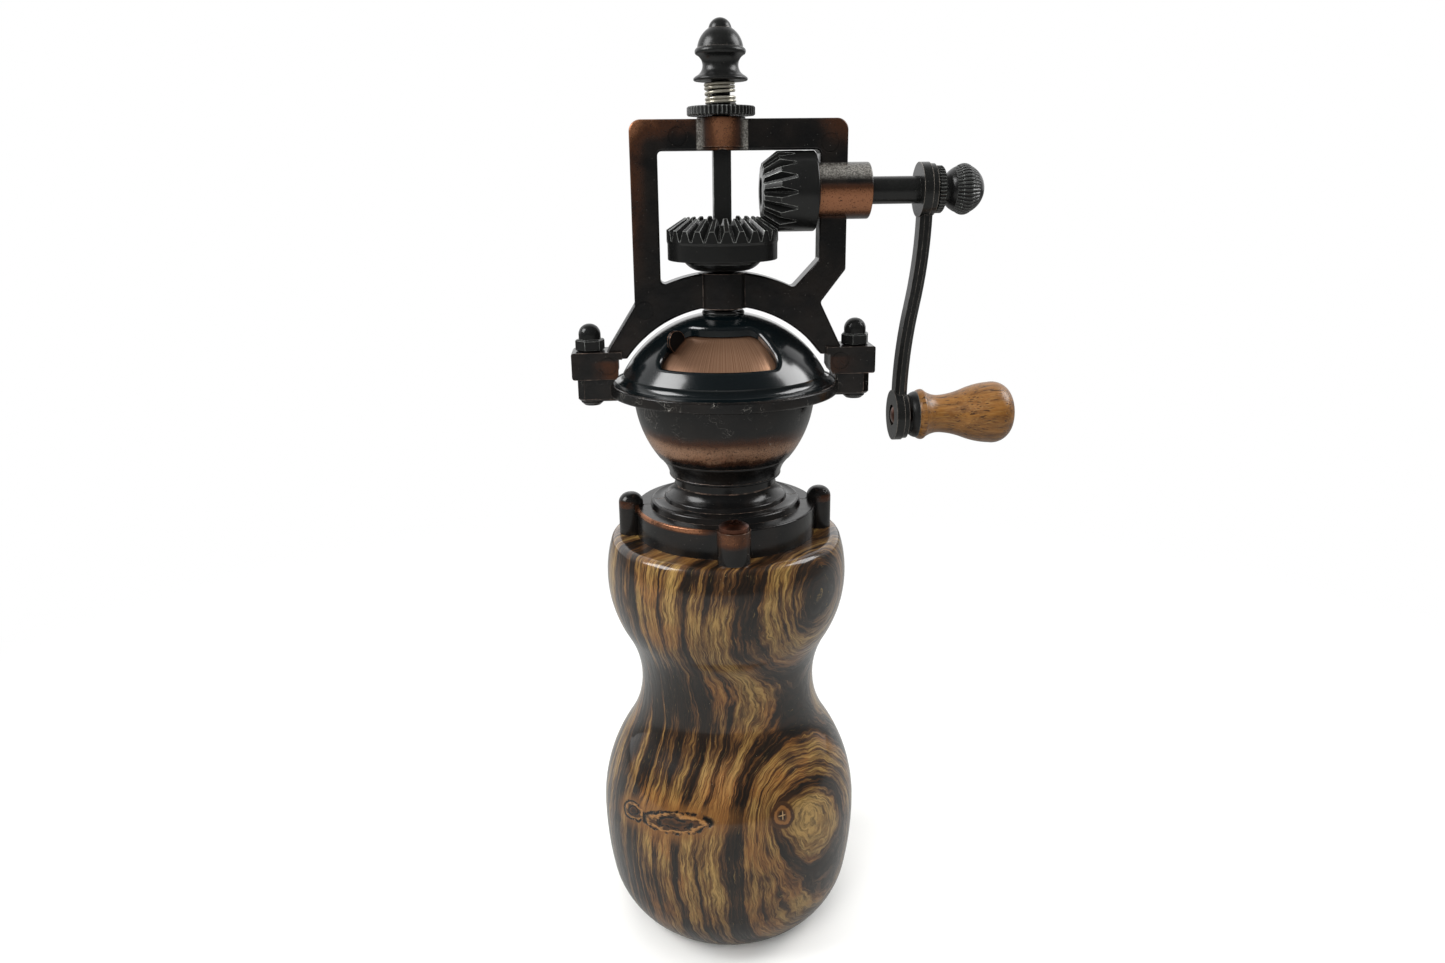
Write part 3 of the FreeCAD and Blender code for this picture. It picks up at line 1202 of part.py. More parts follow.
make_wood_body()
make_collar_half("collar_rear", 0)
make_collar_half("collar_front", 180)
make_collar_screws()
make_bowl()
make_dome_cover()
make_dome_eyelet()
make_shutter()
make_frame()
make_frame_bolts()
make_acorn_nuts()
make_bevel_gear()
make_bevel_pinion()
make_pinion_pin()
make_crank_shaft()
make_crank_arm()
make_arm_lock_ring()
make_ball_nut()
make_knob()
make_spindle()
make_adjust_nut()
make_spring()
make_finial()
make_burr_plate()
make_burr_ring()
make_burr_cone()
make_spindle_bridge()
make_burr_screws()
make_rotor_fixing()
doc.recompute()
check_document()
write_nodes([
    "wood_body", "collar_front", "collar_rear", "collar_screws", "bowl", "dome_cover", "dome_eyelet",
    "shutter", "frame", "frame_bolts", "acorn_nuts", "bevel_gear", "bevel_pinion", "pinion_pin",
    "crank_shaft", "crank_arm", "arm_lock_ring", "ball_nut", "knob_pin", "knob_ferrule", "wood_knob",
    "spindle", "adjust_nut", "spring", "finial", "burr_plate", "burr_ring", "burr_cone",
    "spindle_bridge", "burr_screws", "rotor_washer", "rotor_screw",
])
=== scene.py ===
import json
import math

import bpy
from mathutils import Euler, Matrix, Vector


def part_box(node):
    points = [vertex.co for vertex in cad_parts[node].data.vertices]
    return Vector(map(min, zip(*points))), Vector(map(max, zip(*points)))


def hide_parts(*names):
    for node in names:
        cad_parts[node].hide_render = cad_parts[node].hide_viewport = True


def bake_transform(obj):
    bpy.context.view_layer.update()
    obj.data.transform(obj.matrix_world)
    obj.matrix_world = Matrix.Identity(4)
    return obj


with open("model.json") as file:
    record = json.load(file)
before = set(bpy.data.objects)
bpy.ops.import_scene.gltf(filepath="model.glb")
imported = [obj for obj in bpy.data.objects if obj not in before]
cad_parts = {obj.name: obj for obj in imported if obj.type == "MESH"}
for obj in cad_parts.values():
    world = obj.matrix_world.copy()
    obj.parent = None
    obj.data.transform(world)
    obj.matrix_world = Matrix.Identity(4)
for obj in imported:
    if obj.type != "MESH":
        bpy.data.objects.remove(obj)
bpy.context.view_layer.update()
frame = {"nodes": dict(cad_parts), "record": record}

MM = 0.001


# ------------------------------------------------------------ node building

# The sockets that a Mix node uses when it mixes colours
MIX_SHARE, MIX_FIRST, MIX_SECOND, MIX_RESULT = 0, 6, 7, 2

OPEN_AIR_REACH = 1.5 * MM


class Finish:
    """One procedural material. Each method adds a node and returns its output socket.

    Places inside a finish are in millimetres, in the frame of the whole object at rest.
    """

    def __init__(self, name, settings):
        self.material = bpy.data.materials.new(name)
        self.material.use_nodes = True
        self.tree = self.material.node_tree
        self.shader = self.tree.nodes["Principled BSDF"]
        for socket, value in settings.items():
            self.shader.inputs[socket].default_value = value
        place = self.node("TexCoord").outputs["Object"]
        self.place = self.node("VectorMath", {"Vector": place, "Scale": 1 / MM}, operation="SCALE").outputs[0]
        parts = self.node("SeparateXYZ", {"Vector": self.place}).outputs
        self.x, self.y, self.z = parts[0], parts[1], parts[2]

    def node(self, kind, sockets=None, **settings):
        made = self.tree.nodes.new("ShaderNode" + kind)
        for name, value in settings.items():
            setattr(made, name, value)
        for name, value in (sockets or {}).items():
            self.feed(made.inputs[name], value)
        return made

    def feed(self, socket, value):
        if isinstance(value, bpy.types.NodeSocket):
            self.tree.links.new(value, socket)
        else:
            socket.default_value = value

    def math(self, operation, *values):
        made = self.node("Math", operation=operation)
        for socket, value in zip(made.inputs, values):
            self.feed(socket, value)
        return made.outputs[0]

    def total(self, *values):
        result = values[0]
        for value in values[1:]:
            result = self.math("ADD", result, value)
        return result

    def product(self, *values):
        result = values[0]
        for value in values[1:]:
            result = self.math("MULTIPLY", result, value)
        return result

    def step(self, value, start, end, low=0.0, high=1.0):
        """Goes smoothly from low to high as value goes from start to end."""
        sockets = {"Value": value, "From Min": start, "From Max": end, "To Min": low, "To Max": high}
        return self.node("MapRange", sockets, interpolation_type="SMOOTHSTEP").outputs[0]

    def hump(self, value, start, end, soft):
        """One between start and end, falling to zero over a soft margin outside."""
        return self.product(self.step(value, start - soft, start),
                            self.step(value, end, end + soft, 1.0, 0.0))

    def away(self, centre):
        """How far a place is from a centre."""
        return self.node("VectorMath", {0: self.place, 1: centre}, operation="DISTANCE").outputs["Value"]

    def blob(self, centre, radius):
        """One at a place, falling to zero at a radius from it."""
        return self.step(self.away(centre), 0.0, radius, 1.0, 0.0)

    def distance(self, first, second):
        """The length of a two-part step."""
        return self.math("SQRT", self.total(self.product(first, first), self.product(second, second)))

    def vector(self, first, second, third):
        return self.node("CombineXYZ", {"X": first, "Y": second, "Z": third}).outputs[0]

    def noise(self, scale, detail=3.0, roughness=0.5, where=None):
        """Noise from about zero to one. Its scale is in patches per millimetre."""
        sockets = {"Vector": where or self.place, "Scale": scale, "Detail": detail, "Roughness": roughness}
        return self.node("TexNoise", sockets).outputs[0]

    def sway(self, size, scale, detail=3.0, roughness=0.5, where=None):
        """Noise that swings about zero, by up to half its size each way."""
        return self.product(self.total(self.noise(scale, detail, roughness, where), -0.5), size)

    def mix(self, share, first, second):
        made = self.node("Mix", data_type="RGBA")
        self.feed(made.inputs[MIX_SHARE], share)
        self.feed(made.inputs[MIX_FIRST], first)
        self.feed(made.inputs[MIX_SECOND], second)
        return made.outputs[MIX_RESULT]

    def between(self, share, low, high):
        return self.total(self.product(share, high - low), low)

    def ramp(self, value, stops):
        """A grey or coloured ramp from a list of (position, colour or grey)."""
        made = self.node("ValToRGB", {"Fac": value})
        elements = made.color_ramp.elements
        while len(elements) < len(stops):
            elements.new(0.5)
        for element, (position, shade) in zip(elements, stops):
            element.position = position
            element.color = shade if isinstance(shade, tuple) else (shade, shade, shade, 1.0)
        return made.outputs[0]

    def edges(self, radius, start=0.02, end=0.25):
        """One along sharp outer edges. The radius is in millimetres."""
        flat = self.node("NewGeometry").outputs["Normal"]
        rounded = self.node("Bevel", {"Radius": radius * MM}, samples=6).outputs[0]
        turn = self.node("VectorMath", {0: flat, 1: rounded}, operation="DOT_PRODUCT").outputs["Value"]
        edge = self.step(self.math("SUBTRACT", 1.0, turn), start, end)
        open_air = self.node("AmbientOcclusion", {"Distance": OPEN_AIR_REACH}, samples=6).outputs["AO"]
        return self.product(edge, self.step(open_air, 0.55, 0.9))

    def worn(self, colour, tint, strength, radius):
        """Tints the sharp outer edges of a colour."""
        return self.mix(self.product(self.edges(radius), strength), colour, tint)

    def specked(self, colour, tint, strength, scale, size, reach):
        """Scatters specks over a colour, solid to a size and gone at a reach, in shares of their spacing."""
        spacing = self.node("TexVoronoi", {"Vector": self.place, "Scale": scale}).outputs["Distance"]
        return self.mix(self.step(spacing, size, reach, strength, 0.0), colour, tint)

    def bump(self, *layers):
        """Adds bumps, each given as (height 0 to 1, depth in millimetres)."""
        normal = None
        for height, depth in layers:
            made = self.node("Bump", {"Height": height, "Strength": 1.0, "Distance": depth * MM})
            if normal is not None:
                self.feed(made.inputs["Normal"], normal)
            normal = made.outputs[0]
        self.feed(self.shader.inputs["Normal"], normal)

    def use(self, **sockets):
        names = {"colour": "Base Color", "roughness": "Roughness", "metal": "Metallic"}
        for name, value in sockets.items():
            self.feed(self.shader.inputs[names[name]], value)


def rgb(red, green, blue):
    """A colour from everyday 0 to 255 values."""
    def linear(value):
        value = value / 255
        return value / 12.92 if value <= 0.04045 else ((value + 0.055) / 1.055) ** 2.4
    return (linear(red), linear(green), linear(blue), 1.0)


def around_axis(angle, height, radius):
    """A place on the turned body, its angle in degrees to the right of the front."""
    turn = math.radians(angle)
    return Vector((radius * math.sin(turn), -radius * math.cos(turn), height))


def middle_height(node):
    """The height of a node's middle, in millimetres."""
    low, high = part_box(node)
    return (low.z + high.z) / 2 / MM


# ------------------------------------------------------------ wood

# Lengths and places are in millimetres. Angles on the body are in degrees to the right of the front.
RING_ANGLE = 44.0          # where the growth rings lie flat on the body
DEEPEST_RING = 48.0        # from the axis to the innermost ring that shows, swelling included
GRAIN_STRETCH = 0.06       # how much slower the grain changes along the rings than across them
WAVE_SIZE = 8.0            # how far the rings wander over the whole body
RIPPLE_SIZE = 1.6          # how far they wander over a few millimetres
EYE = around_axis(19.7, 51.0, 37.0)
PALE_HEART = around_axis(34.0, 50.0, 36.0)
DARK_HEART = around_axis(46.0, 115.0, 33.0)
# Where the rings swell outwards: the place, how far round it, and by how much
SWELLINGS = ((PALE_HEART, 25.0, 6.5), (EYE, 11.0, 2.0), (DARK_HEART, 22.0, 4.5))
# Smoky patches: the place, how far round it, and how dark
SMOKE = (
    (DARK_HEART, 15.0, 0.8),
    (around_axis(48.0, 75.0, 25.0), 12.0, 0.5),
    (around_axis(-8.0, 122.0, 32.0), 15.0, 0.45),
    (around_axis(-42.0, 82.0, 26.0), 24.0, 0.75),
    (around_axis(-38.0, 64.0, 33.0), 12.0, 0.3),
    (around_axis(-60.0, 24.0, 34.0), 24.0, 0.55),
    (around_axis(0.0, 72.0, 30.0), 14.0, 0.25),
    (around_axis(-10.0, 12.0, 34.0), 18.0, 0.3),
)
# Where each band of growth rings starts, from the axis, and how dark it is
RINGS = (
    (0.0, 0.75), (1.6, 0.25), (4.6, 0.2), (5.6, 0.8), (7.2, 0.3), (10.2, 0.15), (11.2, 0.6), (12.8, 0.9),
    (14.2, 0.3), (16.6, 0.15), (17.8, 0.75), (19.0, 0.3), (22.6, 0.15), (24.2, 0.8), (27.4, 0.95),
    (29.0, 0.35), (31.2, 0.2), (31.9, 0.6), (32.7, 0.25), (34.2, 0.3), (35.0, 0.7), (35.8, 0.3),
    (37.4, 0.35), (38.2, 0.85), (39.8, 0.9), (40.8, 0.3), (42.6, 0.05),
)
WOOD_SHADES = [(0.0, rgb(152, 122, 70)), (0.28, rgb(118, 88, 48)), (0.50, rgb(76, 50, 27)),
               (0.70, rgb(32, 21, 12)), (0.9, rgb(12, 9, 6))]

POCKET_HEIGHT = 48.5
POCKET_ANGLE = -35.0
POCKET_SLOPE = -0.1        # millimetres of rise for each degree to the right
# Each lobe of the pitch pocket: its angle and half width in degrees, its drop and its half height
POCKET_LOBES = ((-29.0, 17.0, 0.0, 3.0), (-52.0, 7.0, -0.6, 2.8))
POCKET_SHADES = [(0.15, rgb(20, 12, 7)), (0.4, rgb(70, 42, 20)), (0.62, rgb(34, 20, 11)),
                 (0.8, rgb(150, 108, 62)), (1.0, rgb(96, 62, 30))]
FRONT_FADE = (-8.0, -16.0)      # keeps the pocket off the back of the body
PIT = around_axis(2.0, 65.0, 35.0)
PIT_RADIUS = 2.2


def ring_depth(finish):
    """How far out a place lies across the growth rings, with their waves and swellings."""
    turn = math.radians(RING_ANGLE)
    across = finish.total(finish.product(finish.x, math.sin(turn)), finish.product(finish.y, -math.cos(turn)))
    tall = finish.node("Mapping", {"Vector": finish.place, "Scale": (1.0, 1.0, 0.55)}, vector_type="POINT")
    wave = finish.sway(WAVE_SIZE, 0.04, 2.0, 0.45, tall.outputs[0])
    ripple = finish.sway(RIPPLE_SIZE, 0.22, 2.0)
    swells = [finish.product(finish.blob(place, reach), rise) for place, reach, rise in SWELLINGS]
    return finish.total(across, wave, ripple, finish.total(*swells))


def ring_bands(finish, depth):
    """The set bands on the front half, and freely made ones behind."""
    set_bands = finish.ramp(finish.product(depth, 1 / DEEPEST_RING),
                            [(start / DEEPEST_RING, shade) for start, shade in RINGS])
    layered = finish.vector(depth, finish.product(finish.z, 0.02), 0.0)
    free_bands = finish.step(finish.noise(0.2, 2.0, 0.6, layered), 0.42, 0.62)
    return finish.mix(finish.step(depth, -1.0, 0.5), free_bands, set_bands)


def lacquered_wood():
    finish = Finish("lacquered_wood", {"Coat Weight": 1.0, "Coat Roughness": 0.06, "Coat IOR": 1.45,
                                       "Specular IOR Level": 0.25})
    depth = ring_depth(finish)
    bands = ring_bands(finish, depth)
    wavy = finish.total(depth, finish.product(finish.noise(0.5, 2.0, 0.5), 0.6))
    grain = finish.vector(wavy, finish.product(finish.z, GRAIN_STRETCH),
                          finish.product(finish.x, GRAIN_STRETCH))
    lines = finish.step(finish.noise(1.4, 3.0, 0.65, grain), 0.34, 0.66)
    fine = finish.noise(3.6, 3.0, 0.6, grain)
    patches = finish.noise(0.05, 3.0, 0.5)
    darkness = finish.total(
        finish.product(bands, finish.step(patches, 0.30, 0.62, 1.0, 0.72)),
        finish.product(finish.total(lines, -0.5), 0.5),
        finish.step(patches, 0.54, 0.74, 0.0, 0.3),
        *[finish.product(finish.blob(place, reach), amount) for place, reach, amount in SMOKE])
    wood = finish.ramp(darkness, WOOD_SHADES)
    warm = finish.product(finish.step(finish.noise(0.07, 2.0), 0.48, 0.66, 0.0, 0.5),
                          finish.step(darkness, 0.7, 0.3))
    wood = finish.mix(warm, wood, rgb(134, 84, 38))
    wood = finish.mix(finish.step(fine, 0.42, 0.66, 0.0, 0.7), wood, rgb(34, 21, 12))
    wood = finish.mix(finish.step(fine, 0.38, 0.25, 0.0, 0.35), wood, rgb(172, 142, 88))
    wood = eye_knot(finish, wood)
    wood, crack = pitch_pocket(finish, wood)
    wood = small_pit(finish, wood)
    wood = finish.specked(wood, rgb(205, 190, 160), 0.3, 0.5, 0.03, 0.05)
    finish.use(colour=wood, roughness=finish.between(lines, 0.3, 0.5))
    finish.bump((fine, 0.01), (finish.math("SUBTRACT", 1.0, crack), 0.4))
    return finish.material


def eye_knot(finish, wood):
    """A small round knot with a checked heart, at the edge of a pale patch."""
    reach = finish.total(finish.away(EYE), finish.sway(2.4, 0.3, 3.0, 0.6))
    stain = finish.product(finish.step(reach, 4.0, 9.0, 0.55, 0.0), finish.noise(0.4, 3.0))
    wood = finish.mix(stain, wood, rgb(70, 42, 22))
    rings = finish.math("SINE", finish.product(reach, 5.0))
    knot = finish.mix(finish.step(rings, 0.0, 1.0, 0.0, 0.6), rgb(116, 78, 42), rgb(72, 44, 24))
    wood = finish.mix(finish.step(reach, 3.4, 4.2, 1.0, 0.0), wood, knot)
    wood = finish.mix(finish.product(finish.hump(reach, 3.0, 3.6, 0.5), 0.85), wood, rgb(32, 18, 10))
    wood = finish.mix(finish.step(reach, 0.9, 1.9, 0.95, 0.0), wood, rgb(16, 9, 6))
    split = finish.math("MINIMUM", finish.math("ABSOLUTE", finish.total(finish.x, -EYE.x)),
                        finish.math("ABSOLUTE", finish.total(finish.z, -EYE.z)))
    check = finish.product(finish.step(split, 0.08, 0.2, 1.0, 0.0), finish.step(reach, 0.9, 1.4, 0.6, 0.0))
    return finish.mix(check, wood, rgb(196, 160, 116))


def pocket_oval(finish, turn, rise):
    """Grows from zero in the middle of either lobe of the pitch pocket, through one at its rim."""
    level = finish.total(rise, finish.product(finish.total(turn, -POCKET_ANGLE), POCKET_SLOPE))
    lobes = []
    for angle, half_angle, drop, half_height in POCKET_LOBES:
        lobes.append(finish.distance(finish.product(finish.total(turn, -angle), 1 / half_angle),
                                     finish.product(finish.total(level, drop), 1 / half_height)))
    return finish.math("MINIMUM", *lobes)


def pitch_pocket(finish, wood):
    """A flat knot that the grain runs into. Also says where the cracks along its edges are open."""
    front = finish.step(finish.y, *FRONT_FADE)
    rise = finish.total(finish.z, -POCKET_HEIGHT, finish.sway(2.6, 0.22, 3.0, 0.6))
    turn = finish.product(finish.math("ARCTAN2", finish.x, finish.product(finish.y, -1.0)), math.degrees(1.0))
    oval = pocket_oval(finish, turn, rise)
    glow = finish.product(finish.step(oval, 0.9, 2.2, 0.7, 0.0), front)
    wood = finish.mix(glow, wood, rgb(112, 74, 36))
    inside = finish.product(finish.step(oval, 0.85, 1.1, 1.0, 0.0), front)
    streaks = finish.sway(1.4, 0.5, 4.0, 0.7, finish.vector(finish.product(turn, 0.25), rise, 0.0))
    heart = finish.ramp(finish.total(oval, streaks), POCKET_SHADES)
    wood = finish.mix(finish.product(inside, 0.95), wood, heart)
    rims = finish.math("MAXIMUM", finish.hump(oval, 0.92, 1.0, 0.12), finish.hump(oval, 0.42, 0.48, 0.08))
    crack = finish.product(rims, front, finish.step(finish.noise(0.3, 3.0, 0.7), 0.42, 0.50))
    return finish.mix(crack, wood, rgb(7, 5, 3)), crack


def small_pit(finish, wood):
    ragged = finish.step(finish.noise(0.8, 2.0), 0.35, 0.55, 0.4, 1.0)
    return finish.mix(finish.product(finish.blob(PIT, PIT_RADIUS), ragged), wood, rgb(14, 9, 6))


def knob_wood():
    """Oiled oak with its pores along the knob."""
    finish = Finish("knob_wood", {"Coat Weight": 0.35, "Coat Roughness": 0.25, "Specular IOR Level": 0.4})
    along = finish.vector(finish.product(finish.x, 0.07), finish.y, finish.z)
    streak = finish.noise(0.8, 3.0, 0.6, along)
    fine = finish.noise(3.2, 3.0, 0.6, along)
    pores = finish.step(finish.noise(2.4, 1.0, 0.4, along), 0.60, 0.70)
    wood = finish.mix(finish.step(streak, 0.3, 0.7), rgb(128, 84, 34), rgb(86, 52, 20))
    wood = finish.mix(finish.step(fine, 0.4, 0.7, 0.0, 0.55), wood, rgb(152, 112, 58))
    wood = finish.mix(finish.product(pores, 0.85), wood, rgb(44, 24, 10))
    finish.use(colour=wood, roughness=finish.between(fine, 0.34, 0.52))
    finish.bump((finish.math("SUBTRACT", 1.0, pores), 0.05), (fine, 0.02))
    return finish.material


# ------------------------------------------------------------ patinated castings

BLACK_PATINA = rgb(13, 13, 13)
WARM_BLACK = rgb(24, 21, 19)
BROWN_PATINA = rgb(70, 44, 31)
COPPER = rgb(156, 106, 76)
RUBBED_COPPER = rgb(172, 134, 108)
PALE_METAL = rgb(182, 178, 170)

# Middles of the faint round marks on the front of the frame, and how far they keep the edges unworn
EJECTOR_MARKS = ((-11.6, -3.5, 233.5), (28.2, -3.5, 231.7), (-21.5, -3.5, 189.2), (-31.8, -5.0, 174.5),
                 (31.8, -5.0, 174.5))
MARK_REACH = 9.0

# Two lengths that a tint lies between, or fades between
BOWL_BAND_TOP = (152.5, 159.5)
BOWL_BAND_BOTTOM = (148.6, 151.4)
COLLAR_RIM_RADIUS = (25.3, 26.0)
COLLAR_RIM_HEIGHT = (132.4, 133.6)
LUG_REACH = (25.6, 28.6)
LUG_HEIGHT = (131.6, 133.2)
POST_REACH = (25.0, 29.0)
POST_TOP = (133.5, 134.6)
LEFT_EDGE = (-18.5, -25.5)
TOP_EDGE = (231.0, 238.5)
TOP_CORNER = (33.0, 0.0, 239.0)
EAR_REACH = (38.0, 31.0)
EAR_HEIGHT = (171.5, 175.0)
TOP_BOSS_RADIUS = 7.6
TOP_BOSS_FOOT = (228.0, 230.0)
CRANK_BOSS_RADIUS = 8.0
CRANK_BOSS_START = (24.0, 25.5)


def patina(name, rub, pale_wear_and_highlight=None, copper_tone=COPPER):
    """Copper-plated casting under a dark patina.

    The rub function says where the copper shows, and the pale-metal function where pale metal is laid on:
    worn scratches on the bowl, and a painted highlight on the frame's bosses.
    """
    finish = Finish(name, {"Specular IOR Level": 0.4})
    grit = finish.noise(1.2, 3.0, 0.5)
    cloud = finish.noise(0.12, 3.0, 0.55)
    edge = finish.product(finish.edges(0.35, 0.02, 0.14),
                          finish.step(finish.noise(0.45, 3.0, 0.6), 0.42, 0.62, 0.12, 0.8))
    for place in EJECTOR_MARKS:
        edge = finish.product(edge, finish.total(1.0, finish.product(finish.blob(place, MARK_REACH), -1.2)))
    shown = rub(finish, cloud)
    pits = finish.step(finish.noise(2.2, 4.0, 0.7), 0.56, 0.64)
    copper = finish.product(shown, finish.total(1.0, finish.product(pits, -0.7)))
    colour = finish.mix(finish.step(cloud, 0.38, 0.66), BLACK_PATINA, WARM_BLACK)
    colour = finish.mix(finish.step(copper, 0.0, 0.45), colour, BROWN_PATINA)
    colour = finish.mix(finish.step(copper, 0.35, 0.95), colour, copper_tone)
    if pale_wear_and_highlight:
        # pale metal: real scratches on the bowl, and a painted highlight on the frame's bosses
        pale_wear_and_highlight_share = finish.product(pale_wear_and_highlight(finish), finish.total(1.0, finish.product(pits, -0.6)))
        colour = finish.mix(pale_wear_and_highlight_share, colour, PALE_METAL)
    colour = finish.mix(edge, colour, finish.mix(cloud, COPPER, PALE_METAL))
    colour = finish.specked(colour, PALE_METAL, 0.55, 0.9, 0.03, 0.055)
    finish.use(colour=colour, metal=finish.step(copper, 0.0, 0.6, 0.05, 0.7),
               roughness=finish.total(finish.product(grit, 0.12), finish.product(copper, 0.08), 0.16))
    finish.bump((grit, 0.006), (finish.noise(0.35, 2.0), 0.06))
    return finish.material


def bowl_rub(finish, cloud):
    """A wide rubbed band round the belly of the bowl, soft above and ragged below."""
    waver = finish.product(finish.total(cloud, -0.5), 3.0)
    soft = finish.total(finish.z, waver)
    ragged = finish.total(finish.z, waver, finish.sway(3.0, 0.3, 4.0, 0.65))
    band = finish.product(finish.step(soft, *BOWL_BAND_TOP, 1.0, 0.0), finish.step(ragged, *BOWL_BAND_BOTTOM))
    return finish.product(band, finish.step(finish.x, -24.0, 12.0, 0.95, 0.7))


def bowl_scratches(finish):
    """Fine pale scratches above the band, in a few patches."""
    first = finish.math("ABSOLUTE", finish.total(finish.noise(0.22, 2.0, 0.5), -0.5))
    second = finish.math("ABSOLUTE", finish.total(finish.noise(0.35, 3.0, 0.6), -0.48))
    lines = finish.math("MAXIMUM", finish.step(first, 0.001, 0.004, 1.0, 0.0),
                        finish.step(second, 0.001, 0.004, 0.8, 0.0))
    patches = finish.step(finish.noise(0.16, 2.0), 0.50, 0.62)
    return finish.product(lines, patches, finish.step(finish.z, 150.0, 156.0), 0.5)


def collar_rub(finish, cloud):
    """The top edge of the ring at the front left, and the upper ends of the posts."""
    radius = finish.distance(finish.x, finish.y)
    rim = finish.product(finish.hump(radius, *COLLAR_RIM_RADIUS, 0.5),
                         finish.hump(finish.z, *COLLAR_RIM_HEIGHT, 0.9),
                         finish.step(finish.x, -2.0, -12.0), finish.step(finish.y, 0.0, -6.0))
    lug = finish.product(finish.step(radius, *LUG_REACH), finish.hump(finish.z, *LUG_HEIGHT, 2.6),
                         finish.step(finish.y, -20.0, -26.0), 0.6)
    posts = finish.product(finish.step(radius, *POST_REACH), finish.hump(finish.z, *POST_TOP, 0.9), 0.45)
    shown = finish.math("MAXIMUM", finish.math("MAXIMUM", rim, lug), posts)
    return finish.product(shown, finish.step(cloud, 0.35, 0.6, 0.5, 0.95))


def above_crank(finish):
    """How far a place is above the crank's shaft."""
    return finish.total(finish.z, -middle_height("crank_shaft"))


def on_top_boss(finish, inset):
    """One on the boss that the spindle's top runs in, to an inset from its rim."""
    edge = TOP_BOSS_RADIUS - inset
    from_axis = finish.distance(finish.x, finish.y)
    return finish.product(finish.step(from_axis, edge, edge + 0.3, 1.0, 0.0),
                          finish.step(finish.z, *TOP_BOSS_FOOT))


def on_crank_boss(finish, inset):
    """One on the boss that the crank's shaft runs in, to an inset from its rim."""
    edge = CRANK_BOSS_RADIUS - inset
    from_shaft = finish.distance(finish.y, above_crank(finish))
    return finish.product(finish.step(from_shaft, edge, edge + 0.4, 1.0, 0.0),
                          finish.step(finish.x, *CRANK_BOSS_START))


def frame_rub(finish, cloud):
    """The middle of the bosses, the left edge, the top bar's corners, and a tint on the ears."""
    side = finish.math("ABSOLUTE", finish.x)
    top_boss = finish.product(on_top_boss(finish, 0.0), finish.step(side, 0.5, 6.2, 1.0, 0.0),
                              finish.step(finish.z, 230.0, 238.0, 0.7, 1.0))
    crank_boss = finish.product(on_crank_boss(finish, 0.0), finish.hump(above_crank(finish), -4.0, -1.0, 3.8))
    left = finish.product(finish.step(finish.x, *LEFT_EDGE), finish.step(finish.z, 190.0, 232.0, 0.05, 0.6))
    top = finish.product(finish.step(finish.z, *TOP_EDGE), finish.step(finish.x, 2.0, -20.0, 0.0, 0.75))
    corner = finish.product(finish.blob(TOP_CORNER, 12.0), 0.6)
    ears = finish.product(finish.step(side, *EAR_REACH), finish.hump(finish.z, *EAR_HEIGHT, 1.5),
                          finish.step(finish.x, 10.0, -10.0, 0.2, 0.4))
    plate = finish.product(finish.total(left, top, corner, ears), finish.step(cloud, 0.32, 0.62, 0.35, 1.0))
    return finish.math("MAXIMUM", plate, finish.math("MAXIMUM", top_boss, crank_boss))


def boss_painted_highlight(finish):
    """Painted highlight: pale metal down both sides of the top boss and along the top of the crank boss,
    where the lights glint on them.
    """
    side = finish.math("ABSOLUTE", finish.x)
    top_boss = finish.product(on_top_boss(finish, 0.2), finish.hump(side, 5.9, 6.3, 1.6))
    crank_boss = finish.product(on_crank_boss(finish, 0.2), finish.hump(above_crank(finish), 4.8, 6.0, 2.2))
    fine = finish.step(finish.noise(2.4, 4.0, 0.65), 0.38, 0.6, 0.45, 0.12)
    return finish.product(finish.total(top_boss, crank_boss), fine)


# ------------------------------------------------------------ other metals

THREAD_PITCH = 0.8
THREAD_DEPTH = 0.2
THREAD_START = 236.5
SHAFT_RIBS = 40
NUT_RIBS = 48
RIB_DEPTH = 0.35
# From where to where along the crank's shaft each knurled piece is ribbed
BALL_KNURL = (62.6, 68.4)
RING_KNURL = (56.0, 61.0)
PALE_EDGE = rgb(176, 178, 174)
WARM_EDGE = rgb(168, 158, 148)
DOME_CENTRE = (0.0, 0.0, 156.2)
DOME_RADIUS = 31.9


def shaft_ribs(finish, start, end):
    """Straight knurling round the crank's shaft between two reaches along it."""
    turn = finish.math("ARCTAN2", above_crank(finish), finish.y)
    wave = finish.math("SINE", finish.product(turn, SHAFT_RIBS))
    ribbed = finish.hump(finish.x, start, end, 0.3)
    return finish.total(finish.product(finish.total(wave, -1.0), 0.5, ribbed), 1.0)


def ball_ribs(finish):
    return shaft_ribs(finish, *BALL_KNURL)


def ring_ribs(finish):
    return shaft_ribs(finish, *RING_KNURL)


def nut_ribs(finish):
    """Straight knurling round the adjusting nut."""
    turn = finish.math("ARCTAN2", finish.x, finish.y)
    return finish.product(finish.total(finish.math("SINE", finish.product(turn, NUT_RIBS)), 1.0), 0.5)


